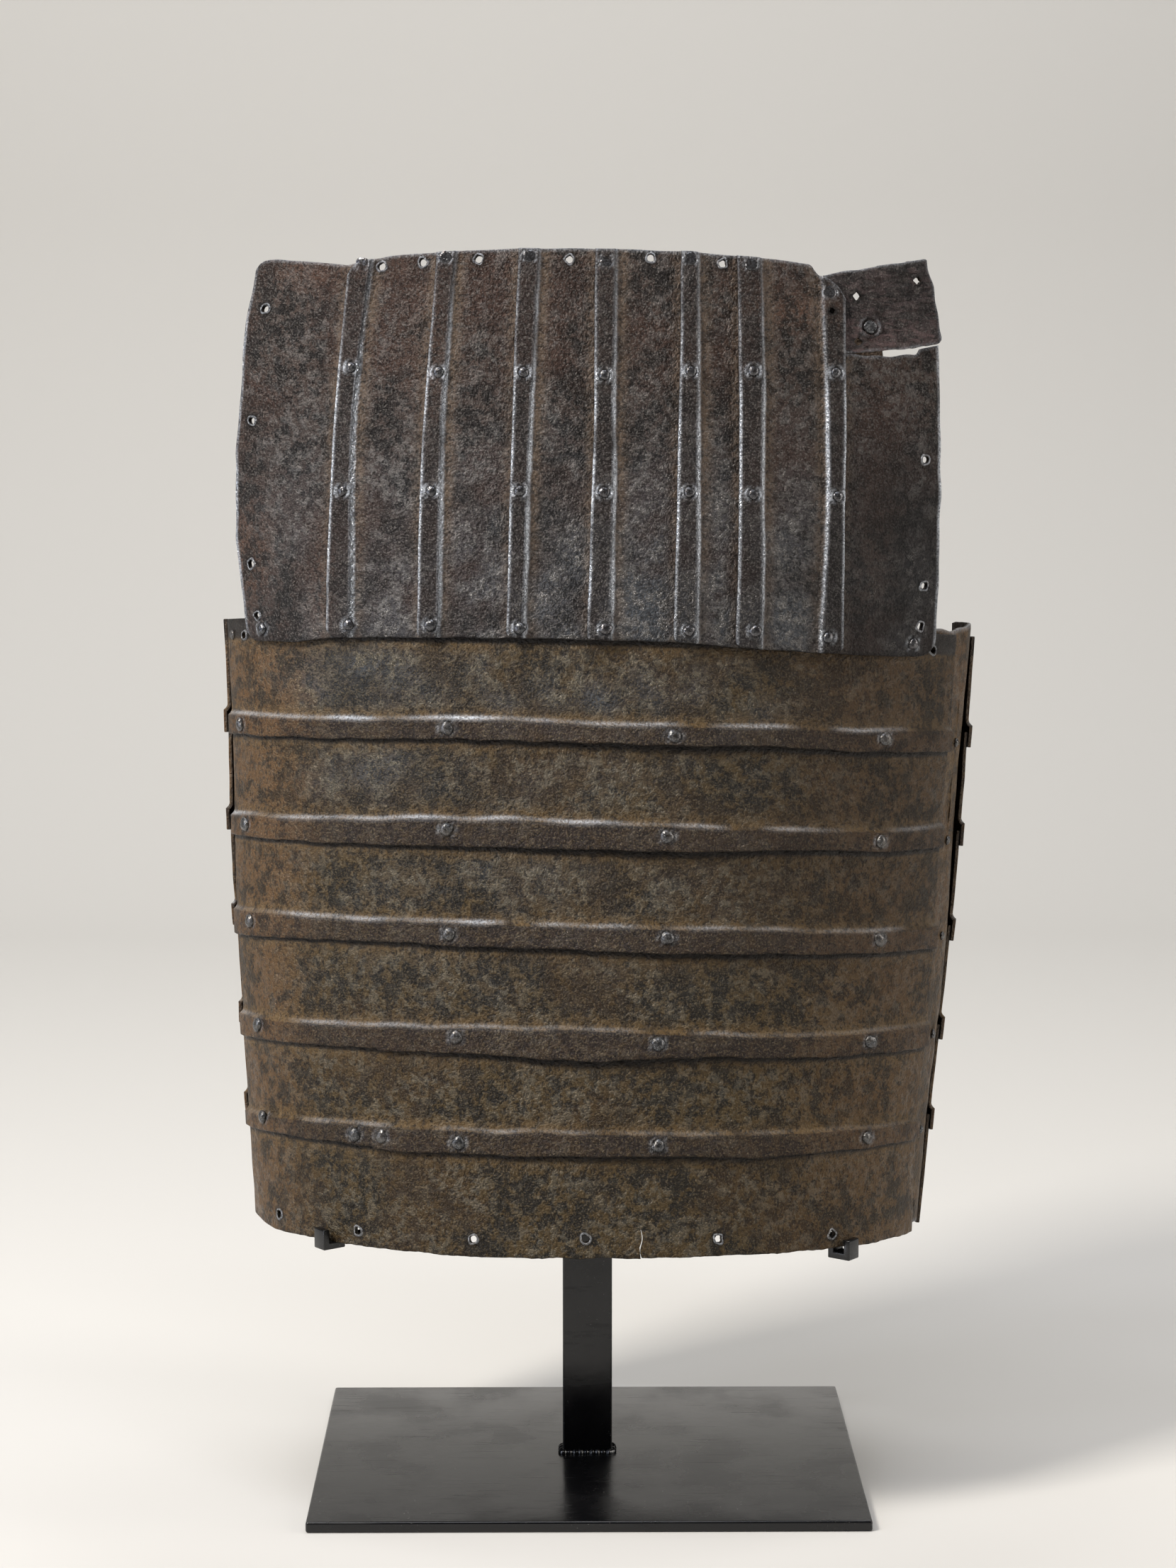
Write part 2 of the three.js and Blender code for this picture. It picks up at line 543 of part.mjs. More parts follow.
function upperBack() {
  const geometry = wallGeometry(BACK_PLATE_COLUMNS, BACK_PLATE_ROWS, (i, j, side) => {
    const across = 1 - (2 * i) / BACK_PLATE_COLUMNS;
    const top = BACK_PLATE_TOP - BACK_PLATE_DROP * across ** 4;
    const height = THREE.MathUtils.lerp(BACK_PLATE_LOW, top, j / BACK_PLATE_ROWS);
    const x = across * readTable(BACK_PLATE_EDGE, 'height', 'x', height);
    const angle = Math.PI - angleAtX(CHEST_RINGS, height, x);
    return ringPoint(CHEST_RINGS, height, angle, (side * SHEET) / 2);
  });
  return namedMesh('upper_back_plate', geometry, IRON_CHEST);
}

function cuirass() {
  const group = new THREE.Group();
  for (let i = 0; i < WAIST_LAMES.length; i += 1) group.add(frontLame(i));
  for (let i = 0; i <= CHEST_BANDS.length; i += 1) group.add(chestLame(i));
  group.add(repairPatch());
  group.add(sideStrip('left'), sideStrip('right'));
  for (let i = 0; i < WAIST_LAMES.length; i += 1) group.add(backLame(i));
  group.add(upperBack());
  group.rotation.set(-LEAN, ROLL, 0, 'XYZ');
  group.position.copy(HEM_CENTRE);
  group.updateMatrix();
  return group;
}

function bevelledBlock(width, depth, thick, bevel) {
  const shape = new THREE.Shape();
  const [halfWidth, halfDepth] = [width / 2 - bevel, depth / 2 - bevel];
  shape.moveTo(-halfWidth, -halfDepth);
  shape.lineTo(halfWidth, -halfDepth);
  shape.lineTo(halfWidth, halfDepth);
  shape.lineTo(-halfWidth, halfDepth);
  shape.closePath();
  const options = { depth: thick - 2 * bevel, bevelThickness: bevel, bevelSize: bevel, bevelSegments: 1 };
  const geometry = new THREE.ExtrudeGeometry(shape, options);
  geometry.translate(0, 0, bevel);
  return geometry;
}

// One flat-bar arm from the post to a hook under the hem, drawn in the upright plane through both
function hookArm(name, x, face, placing) {
  const frontAngle = angleAtX(WAIST_RINGS, 0, x);
  const angle = face < 0 ? frontAngle : Math.PI - frontAngle;
  const hem = ringPoint(WAIST_RINGS, 0, angle, 0).applyMatrix4(placing);
  const direction = Math.atan2(hem.y, hem.x);
  const reach = Math.hypot(hem.x, hem.y);
  const start = (Math.abs(hem.x) * POST_WIDTH + Math.abs(hem.y) * POST_THICK) / (2 * reach) + TOUCH_GAP;
  const seat = hem.z - TOUCH_GAP - HEM_TILT_CLEAR;
  const [arm, half] = [ARM_LEVEL, ARM_THICK / 2];
  const inner = reach - HOOK_CLEAR - SHEET / 2;
  const outer = reach + HOOK_CLEAR + SHEET / 2;
  const outline = [
    [start, arm - half], [inner - ARM_THICK, arm - half], [inner - ARM_THICK, seat - ARM_THICK],
    [outer + ARM_THICK, seat - ARM_THICK], [outer + ARM_THICK, seat + HOOK_RISE], [outer, seat + HOOK_RISE],
    [outer, seat], [inner, seat], [inner, arm + half], [start, arm + half],
  ];
  const shape = new THREE.Shape(outline.map(([x, y]) => new THREE.Vector2(x, y)));
  const geometry = new THREE.ExtrudeGeometry(shape, { depth: ARM_WIDTH, bevelEnabled: false });
  geometry.translate(0, 0, -ARM_WIDTH / 2);
  geometry.rotateX(Math.PI / 2);
  geometry.rotateZ(direction);
  return namedMesh(name, geometry, STAND_BLACK);
}

function stand(placing) {
  const group = new THREE.Group();
  const plate = bevelledBlock(BASE_WIDTH, BASE_DEPTH, BASE_THICK, BASE_BEVEL);
  const foot = BASE_THICK + TOUCH_GAP;
  const upright = new THREE.BoxGeometry(POST_WIDTH, POST_THICK, POST_TOP - foot);
  upright.translate(0, 0, (POST_TOP + foot) / 2);
  group.add(namedMesh('stand_base', plate, STAND_BLACK), namedMesh('stand_post', upright, STAND_BLACK));
  group.add(hookArm('hook_arm_front_left', -FRONT_HOOK_X, -1, placing));
  group.add(hookArm('hook_arm_front_right', FRONT_HOOK_X, -1, placing));
  group.add(hookArm('hook_arm_back', 0, 1, placing));
  return group;
}

const body = cuirass();
const model = new THREE.Group();
model.add(body);
model.add(stand(body.matrix));

export default model;
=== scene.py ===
"""A riveted sheet-iron cuirass on its black display stand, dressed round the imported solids.

The front faces -Y. Tables hold millimetres in the cuirass's own upright frame: its origin is the middle of
the hem, x runs to the right of someone who looks at the front, and heights count from the hem. Placing
tilts that frame and sets it on the stand. Each sheet of iron is a grid of points on its outer side, worked
out as whole arrays, with a wall of real thickness behind it. Rivet heads and the burrs of punched holes are
turned profiles that belong to the sheet.
"""

import logging
import math
from dataclasses import dataclass, field
from enum import Enum
from typing import NamedTuple, Sequence

import bmesh
import bpy
import numpy as np
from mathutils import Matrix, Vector


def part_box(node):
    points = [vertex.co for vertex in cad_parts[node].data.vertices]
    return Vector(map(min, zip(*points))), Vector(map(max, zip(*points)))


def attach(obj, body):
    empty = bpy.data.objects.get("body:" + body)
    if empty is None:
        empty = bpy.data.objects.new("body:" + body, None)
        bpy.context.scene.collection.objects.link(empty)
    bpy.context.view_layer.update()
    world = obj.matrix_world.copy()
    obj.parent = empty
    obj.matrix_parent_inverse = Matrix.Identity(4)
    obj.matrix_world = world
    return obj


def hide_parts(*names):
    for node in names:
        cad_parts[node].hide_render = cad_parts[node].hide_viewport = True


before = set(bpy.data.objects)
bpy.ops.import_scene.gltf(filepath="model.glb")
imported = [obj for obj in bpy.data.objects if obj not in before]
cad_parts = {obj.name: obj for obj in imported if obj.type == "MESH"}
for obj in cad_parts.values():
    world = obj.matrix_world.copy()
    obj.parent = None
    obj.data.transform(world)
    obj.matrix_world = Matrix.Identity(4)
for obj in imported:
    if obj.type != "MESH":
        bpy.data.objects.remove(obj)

log = logging.getLogger("cuirass")

MM = 0.001  # metres in a millimetre
SHEET = 1.6  # thickness of the iron
LAP_STEP = 1.9  # how far a lapped border is set out over the sheet under it
LAP_HIDDEN = 7.0  # how far a sheet runs on behind the sheet that covers it
EDGE_LINES = (0.0, 0.16, 0.5)  # grid lines beside a cut edge
EDGE_DROPS = (0.42, 0.13, 0.0)  # how far the rounded edge falls away at those lines
HOLE_RADIUS = 1.7

Marks = dict[str, np.ndarray]
Pairs = Sequence[tuple[float, float]]


def ease(share: np.ndarray) -> np.ndarray:
    """Smooth step from 0 to 1, level at both ends: 3 t squared minus 2 t cubed."""
    t = np.clip(share, 0.0, 1.0)
    return t * t * (3.0 - 2.0 * t)


def hill(distance: np.ndarray, width: float) -> np.ndarray:
    """Bell curve: e to the minus square of distance over width."""
    return np.exp(-((distance / width) ** 2))


def straight_read(at: np.ndarray, table: Pairs) -> np.ndarray:
    """Reads a table of pairs, straight from row to row and held at its ends."""
    return np.interp(at, *zip(*table))


def smooth_read(at: np.ndarray, keys: Sequence[float], values: Sequence[float]) -> np.ndarray:
    """Reads a table along cubics, whose slope at a row is the mean slope between its neighbours.

    Args:
        at: Where to read.
        keys: The table's rising keys.
        values: The values at those keys.

    Returns:
        The read values, held at the table's ends.
    """
    keys, values = np.asarray(keys, float), np.asarray(values, float)
    slopes = np.gradient(values, keys)
    low = np.clip(np.searchsorted(keys, at) - 1, 0, len(keys) - 2)
    step = keys[low + 1] - keys[low]
    t = np.clip((at - keys[low]) / step, 0.0, 1.0)
    rise = t * t * (3.0 - 2.0 * t)
    start, end = t * (1.0 - t) ** 2 * step, t * t * (t - 1.0) * step
    return values[low] * (1.0 - rise) + values[low + 1] * rise + slopes[low] * start + slopes[low + 1] * end


def ripple(seed: int, u: np.ndarray, v: np.ndarray | float, length: float, waves: int = 8) -> np.ndarray:
    """Soft undulation: the sum of plane sine waves in drawn directions, each about one length long.

    Args:
        seed: Fixes the drawn directions and phases.
        u: First flat coordinate, in millimetres.
        v: Second flat coordinate, in millimetres.
        length: Typical distance between crests.
        waves: How many waves are added.

    Returns:
        Values mostly between -1 and 1.
    """
    draw = np.random.default_rng(seed)
    turn, phase = draw.uniform(0.0, math.tau, (2, waves))
    rate = math.tau / (length * draw.uniform(0.7, 1.5, waves))
    u, v = np.broadcast_arrays(u, v)
    total = np.zeros(u.shape)
    for t, p, k in zip(turn, phase, rate):
        total += np.sin(k * (u * math.cos(t) + v * math.sin(t)) + p)
    return total / math.sqrt(waves)


class RingRow(NamedTuple):
    """One ring of the form: height above the hem, half width, half depth to the front and to the back."""

    height: float
    half: float
    front: float
    back: float


class Spot(NamedTuple):
    """A place on the outer side of a sheet, with the direction out of the iron."""

    point: np.ndarray
    normal: np.ndarray


@dataclass(frozen=True)
class Form:
    """The worn shape that a set of sheets follows: elliptical rings by height, with the dents of the hammer.

    The point at an angle round a ring of half width a and half depth b is (a sin t, -b cos t), moved out
    along the ring's own normal in plan.
    """

    rows: tuple[RingRow, ...]
    seed: int
    dent: float = 0.34
    dent_length: float = 74.0
    tap: float = 0.075
    tap_length: float = 19.0

    def sizes(self, angle: np.ndarray, height: np.ndarray) -> tuple[np.ndarray, np.ndarray]:
        """Half width at a height, and the half depth on the side that the angle faces.

        Args:
            angle: Angles round the ring from the middle of the front, in radians.
            height: Heights above the hem.

        Returns:
            The half widths and the half depths.
        """
        keys = [r.height for r in self.rows]
        half = smooth_read(height, keys, [r.half for r in self.rows])
        front = smooth_read(height, keys, [r.front for r in self.rows])
        back = smooth_read(height, keys, [r.back for r in self.rows])
        return half, np.where(np.cos(angle) >= 0.0, front, back)

    def dents(self, angle: np.ndarray, height: np.ndarray) -> np.ndarray:
        """Large dents and small hammer marks, the same for all sheets at a place, so that laps stay parallel.

        Args:
            angle: Angles round the ring.
            height: Heights above the hem.

        Returns:
            How far the sheet stands out of its ring.
        """
        u, v = 140.0 * np.sin(angle), height + 110.0 * np.cos(angle)
        large = self.dent * ripple(self.seed, u, v, self.dent_length)
        return large + self.tap * ripple(self.seed + 1, u, v, self.tap_length)

    def outside(self, angle: np.ndarray, height: np.ndarray, out: np.ndarray | float) -> np.ndarray:
        """Points on the outer side of a sheet.

        Args:
            angle: Angles round the ring.
            height: Heights above the hem.
            out: How far the sheet is set out from its ring.

        Returns:
            The points, with x, y and z along the last axis.
        """
        half, depth = self.sizes(angle, height)
        across, along = np.sin(angle) / half, -np.cos(angle) / depth
        away = (out + SHEET / 2 + self.dents(angle, height)) / np.hypot(across, along)
        x = half * np.sin(angle) + away * across
        y = -depth * np.cos(angle) + away * along
        return np.stack(np.broadcast_arrays(x, y, height), axis=-1)

    def angle_at(self, x: np.ndarray, height: np.ndarray) -> np.ndarray:
        """The angle on the front whose ring point has this x."""
        half = smooth_read(height, [r.height for r in self.rows], [r.half for r in self.rows])
        return np.arcsin(np.clip(x / half, -1.0, 1.0))

    def spot(self, angle: float, height: float, out: float) -> Spot:
        """A place on the outer side, whose normal is the cross product of the two ways along the sheet.

        Args:
            angle: The place's angle round the ring.
            height: Its height above the hem.
            out: How far the sheet is set out from its ring.

        Returns:
            The place.
        """
        step = 0.5
        t = angle + np.array([0.0, step / 100.0, 0.0])
        h = height + np.array([0.0, 0.0, step])
        here, aside, above = self.outside(t, h, out)
        normal = np.cross(aside - here, above - here)
        return Spot(here, normal / np.linalg.norm(normal))


WAIST_FORM = Form(
    rows=(
        RingRow(0.0, 151.6, 108.0, 104.0),
        RingRow(45.0, 155.2, 105.5, 102.0),
        RingRow(90.0, 159.3, 103.5, 100.0),
        RingRow(135.0, 162.2, 101.0, 98.0),
        RingRow(180.0, 164.7, 98.5, 96.0),
        RingRow(225.0, 167.3, 96.5, 94.0),
        RingRow(275.0, 170.2, 93.8, 92.0),
    ),
    seed=11,
)
CHEST_FORM = Form(
    rows=(
        RingRow(255.0, 172.2, 97.2, 94.6),
        RingRow(275.0, 175.0, 96.2, 94.4),
        RingRow(292.0, 180.0, 95.2, 95.0),
        RingRow(318.0, 186.0, 94.0, 95.0),
        RingRow(345.0, 190.0, 92.5, 94.0),
        RingRow(400.0, 190.0, 90.0, 90.0),
        RingRow(445.0, 187.0, 87.0, 84.0),
    ),
    seed=23,
    dent=0.3,
)


@dataclass(frozen=True)
class Placing:
    """Where the cuirass hangs: leaned back and rolled a little to its right, about the middle of its hem."""

    lean: float = math.radians(4.8)
    roll: float = math.radians(1.3)
    hem_centre: tuple[float, float, float] = (-1.0, -15.0, 120.5)

    def place(self, points: np.ndarray) -> np.ndarray:
        """Rolls points about y, leans them back about x and moves them to the hem's centre.

        Args:
            points: Points in the cuirass's upright frame.

        Returns:
            The points on the stand.
        """
        x = points[..., 0] * math.cos(self.roll) + points[..., 2] * math.sin(self.roll)
        z = -points[..., 0] * math.sin(self.roll) + points[..., 2] * math.cos(self.roll)
        y = points[..., 1] * math.cos(self.lean) + z * math.sin(self.lean)
        z = -points[..., 1] * math.sin(self.lean) + z * math.cos(self.lean)
        return np.stack([x, y, z], axis=-1) + np.array(self.hem_centre)


@dataclass
class Shell:
    """A mesh in the making: points, four-sided and three-sided faces, and marks for the finish."""

    points: np.ndarray
    quads: np.ndarray
    triangles: np.ndarray = field(default_factory=lambda: np.zeros((0, 3), int))
    marks: Marks = field(default_factory=dict)

    def joined(self, *others: "Shell") -> "Shell":
        """Joins shells, each keeping its own faces.

        Args:
            others: The shells to add.

        Returns:
            This shell and the others as one.
        """
        shells = [self, *(o for o in others if len(o.points))]
        starts = np.cumsum([0] + [len(s.points) for s in shells[:-1]])
        names = {name for s in shells for name in s.marks}
        marks = {
            name: np.concatenate([s.marks.get(name, np.zeros(len(s.points))) for s in shells])
            for name in names
        }
        return Shell(
            np.concatenate([s.points for s in shells]),
            np.concatenate([s.quads + start for s, start in zip(shells, starts)]),
            np.concatenate([s.triangles + start for s, start in zip(shells, starts)]),
            marks,
        )


def empty_shell() -> Shell:
    """A shell with nothing in it."""
    return Shell(np.zeros((0, 3)), np.zeros((0, 4), int))


class Stations(NamedTuple):
    """Grid lines by stretch: which stretch each line lies in, and how far along it."""

    stretch: np.ndarray
    share: np.ndarray


def stations(cells: Sequence[int]) -> Stations:
    """Grid lines over stretches, with the last line at the far end.

    Args:
        cells: How many cells each stretch holds.

    Returns:
        The grid lines.
    """
    stretch = np.concatenate([np.full(n, i) for i, n in enumerate(cells)] + [[len(cells) - 1]])
    share = np.concatenate([np.arange(n) / n for n in cells] + [[1.0]])
    return Stations(stretch.astype(int), share)


def lines_between(keys: Sequence[np.ndarray], lines: Stations) -> np.ndarray:
    """Places of the grid lines between key lines, straight along each stretch.

    Args:
        keys: The key lines, one more than there are stretches, each an array with one row for each grid line.
        lines: The grid lines, along the first axis.

    Returns:
        An array of the keys' shape.
    """
    stack = np.stack(np.broadcast_arrays(*keys))
    row = np.arange(len(lines.stretch))
    share = lines.share.reshape((-1,) + (1,) * (stack.ndim - 2))
    return stack[lines.stretch, row] * (1.0 - share) + stack[lines.stretch + 1, row] * share


def edged(
    start: np.ndarray, end: np.ndarray, inner: Sequence[np.ndarray] = (), unit: float = 1.0
) -> list[np.ndarray]:
    """Key lines from one cut edge to another, with two lines close beside each for its rounding.

    Args:
        start: The first cut edge.
        end: The last cut edge.
        inner: Key lines between them.
        unit: Millimetres in one step of the edges' own measure, less than 0 where it falls from start to end.

    Returns:
        The key lines in order.
    """
    near, far = (line / unit for line in EDGE_LINES[1:])
    return [start, start + near, start + far, *inner, end - far, end - near, end]


def edge_cells(*inner: int) -> list[int]:
    """Cells between the key lines of two rounded edges."""
    return [1, 1, *inner, 1, 1]


def grid_heights(keys: Sequence[np.ndarray], rows: Stations, columns: Stations) -> np.ndarray:
    """Heights of a grid's points.

    Args:
        keys: The key lines' heights, each with one value for each column.
        rows: The grid's rows.
        columns: The grid's columns.

    Returns:
        A height for each point.
    """
    shape = (len(rows.stretch), len(columns.stretch))
    return lines_between([np.broadcast_to(key, shape) for key in keys], rows)


def inset(lines: np.ndarray) -> np.ndarray:
    """How far in from the first and the last column each point of a grid lies."""
    return np.minimum(lines - lines[:, :1], lines[:, -1:] - lines)


def edge_fall(distance: np.ndarray) -> np.ndarray:
    """How far a sheet's outer side falls away at a distance from a cut edge."""
    return np.interp(distance, EDGE_LINES, EDGE_DROPS)


def areas(rows: Sequence["Area"], x: np.ndarray, height: np.ndarray) -> np.ndarray:
    """The summed strength of some areas at places."""
    return sum(area.at(x, height) for area in rows)


class Area(NamedTuple):
    """A soft oval area on the cuirass: its middle, its reach both ways, and how strong it is."""

    x: float
    height: float
    wide: float
    tall: float
    share: float = 1.0

    def at(self, x: np.ndarray, height: np.ndarray) -> np.ndarray:
        """The area's strength at places: a bell curve both ways."""
        across, up = (x - self.x) / self.wide, (height - self.height) / self.tall
        return self.share * np.exp(-(across**2) - up**2)


@dataclass
class Sheet:
    """The outer side of one sheet of iron as a grid of points, rows upward and columns to the right."""

    points: np.ndarray
    fall: np.ndarray
    marks: Marks
    thickness: float = SHEET

    def __post_init__(self) -> None:
        """Works out the grid's normals, whose outer two lines take the third line's, and keeps every face."""
        across, up = np.gradient(self.points, axis=1), np.gradient(self.points, axis=0)
        normal = np.cross(across, up)
        normal = normal / np.linalg.norm(normal, axis=-1, keepdims=True)
        self.normals = np.pad(normal[2:-2, 2:-2], ((2, 2), (2, 2), (0, 0)), mode="edge")
        self.kept = np.ones((self.points.shape[0] - 1, self.points.shape[1] - 1), bool)

    def raise_by(self, height: np.ndarray) -> None:
        """Moves the outer side out by a height at each point."""
        self.points = self.points + self.normals * height[..., None]

    def collar(self, spot: Spot, collar: "Collar") -> None:
        """Raises a soft ring round a spot, as a driven rivet leaves, with a painted highlight on its two
        sides and painted shade round the foot of the head.

        Args:
            spot: The ring's centre.
            collar: The ring's sizes.
        """
        offset = self.points - spot.point
        away = np.linalg.norm(offset, axis=-1)
        aside = np.cross([0.0, 0.0, 1.0], spot.normal)
        sideways = (offset @ (aside / np.linalg.norm(aside))) / np.maximum(away, 0.1)
        ring = away - collar.radius
        sunk = 0.5 * collar.height * hill(away, collar.radius)
        self.raise_by(collar.height * hill(ring, collar.width) - sunk)
        # Painted highlight on the ring's two sides, and painted shade round the foot of the head
        painted_highlight = collar.shine * hill(ring, 0.7 * collar.width) * sideways**2
        self.marks["wear"] = np.clip(self.marks["wear"] + painted_highlight, 0.0, 1.0)
        self.marks["grime"] = np.maximum(self.marks["grime"], 0.8 * hill(away, 0.85 * collar.radius))

    def punch(self, spot: Spot, radius: float, diamond: bool = False) -> None:
        """Cuts a hole: faces inside the radius go, and the points on its rim move to the radius.

        Args:
            spot: The hole's centre on the outer side.
            radius: The hole's radius, or half the diagonal of a diamond-shaped hole.
            diamond: Whether the hole has four straight sides on its corners.
        """
        offset = self.points - spot.point
        flat = offset - (offset @ spot.normal)[..., None] * spot.normal
        away = np.linalg.norm(flat, axis=-1)
        if diamond:
            away = np.abs(flat[..., 0]) + np.abs(flat[..., 2])
        middle = (away[:-1, :-1] + away[1:, :-1] + away[:-1, 1:] + away[1:, 1:]) / 4
        gone = middle < radius
        self.kept &= ~gone
        touched = np.zeros(away.shape, bool)
        stays = np.zeros(away.shape, bool)
        for rows, columns in ((slice(None, -1), slice(None, -1)), (slice(1, None), slice(None, -1)),
                              (slice(None, -1), slice(1, None)), (slice(1, None), slice(1, None))):
            touched[rows, columns] |= gone
            stays[rows, columns] |= ~gone
        rim = touched & stays
        scale = (radius / np.maximum(away[rim], 0.1) - 1.0)[:, None]
        self.points[rim] = self.points[rim] + flat[rim] * scale
        self.marks["grime"] = np.maximum(self.marks["grime"], hill(np.maximum(away - radius, 0.0), 1.6))

    def shell(self) -> Shell:
        """Closes the sheet as a wall: outer side, inner side one thickness behind, and a rim at each cut.

        Returns:
            The wall.
        """
        count = self.fall.size
        outer = (self.points - self.normals * self.fall[..., None]).reshape(-1, 3)
        inner = (self.points - self.normals * self.thickness).reshape(-1, 3)
        index = np.arange(count).reshape(self.fall.shape)
        faces = np.stack([index[:-1, :-1], index[:-1, 1:], index[1:, 1:], index[1:, :-1]], axis=-1)[self.kept]
        edges = np.concatenate([faces[:, [i, (i + 1) % 4]] for i in range(4)])
        free = edges[~np.isin(edges @ [count, 1], edges @ [1, count])]
        rim = np.stack([free[:, 1], free[:, 0], free[:, 0] + count, free[:, 1] + count], axis=1)
        quads = np.concatenate([faces, faces[:, ::-1] + count, rim])
        used, place = np.unique(quads, return_inverse=True)
        points = np.concatenate([outer, inner])[used]
        inside = used >= count
        marks = {name: np.where(inside, 0.0, np.tile(m.ravel(), 2)[used]) for name, m in self.marks.items()}
        marks["inside"] = inside.astype(float)
        return Shell(points, place.reshape(quads.shape), marks=marks)


class Head(Enum):
    """The kinds of rivet head, as (radius, rise) of each ring of the turned profile in millimetres."""

    PROUD = (
        (0.0, -0.8), (2.2, -0.8), (2.6, -0.1), (2.65, 0.4), (2.4, 1.0), (1.8, 1.5), (1.0, 1.78), (0.0, 1.82))
    DOMED = (
        (0.0, -0.8), (2.5, -0.8), (3.0, -0.2), (3.1, 0.4), (2.85, 1.0), (2.2, 1.6), (1.2, 2.0), (0.0, 2.1))
    DRIVEN = (
        (0.0, -0.8), (2.0, -0.8), (2.35, -0.3), (2.4, 0.2), (2.1, 0.8), (1.5, 1.2), (0.8, 1.4), (0.0, 1.42))
    FLUSH = (
        (0.0, -0.8), (2.5, -0.8), (2.9, -0.2), (2.85, 0.12), (2.5, 0.3), (1.7, 0.34), (0.8, 0.3), (0.0, 0.26))
    BROAD = (
        (0.0, -0.8), (2.6, -0.8), (3.1, -0.1), (3.1, 0.5), (2.7, 1.0), (1.9, 1.15), (1.0, 1.0), (0.0, 0.85))
    SMALL = (
        (0.0, -0.8), (1.6, -0.8), (1.95, -0.1), (2.0, 0.4), (1.7, 0.9), (1.2, 1.25), (0.6, 1.4), (0.0, 1.42))


class Collar(NamedTuple):
    """The soft ring that a rivet raises: radius, height and width, and how strong the painted highlight on
    its sides is.
    """

    radius: float
    height: float
    width: float
    shine: float = 0.15


WAIST_COLLAR = Collar(3.7, 0.25, 0.8, 0.3)
BACK_COLLAR = Collar(3.2, 0.15, 0.8)
PATCH_COLLAR = Collar(4.4, 0.9, 0.9, 0.4)
# Broad, with a strong painted highlight, beside a driven head; thin round the others
CHEST_COLLARS = {
    Head.DRIVEN: Collar(3.2, 0.7, 0.9, 0.9),
    Head.FLUSH: Collar(3.2, 0.25, 0.5, 0.6),
    Head.PROUD: Collar(3.4, 0.35, 0.8, 0.6),
}
# The raised rim of a punched hole, as radius and rise round its section
BURR = ((2.9, -0.35), (2.5, 0.12), (2.15, 0.42), (1.78, 0.3), (1.6, -0.3), (1.58, -1.9), (2.1, -1.9))
TURN_SIDES = 20


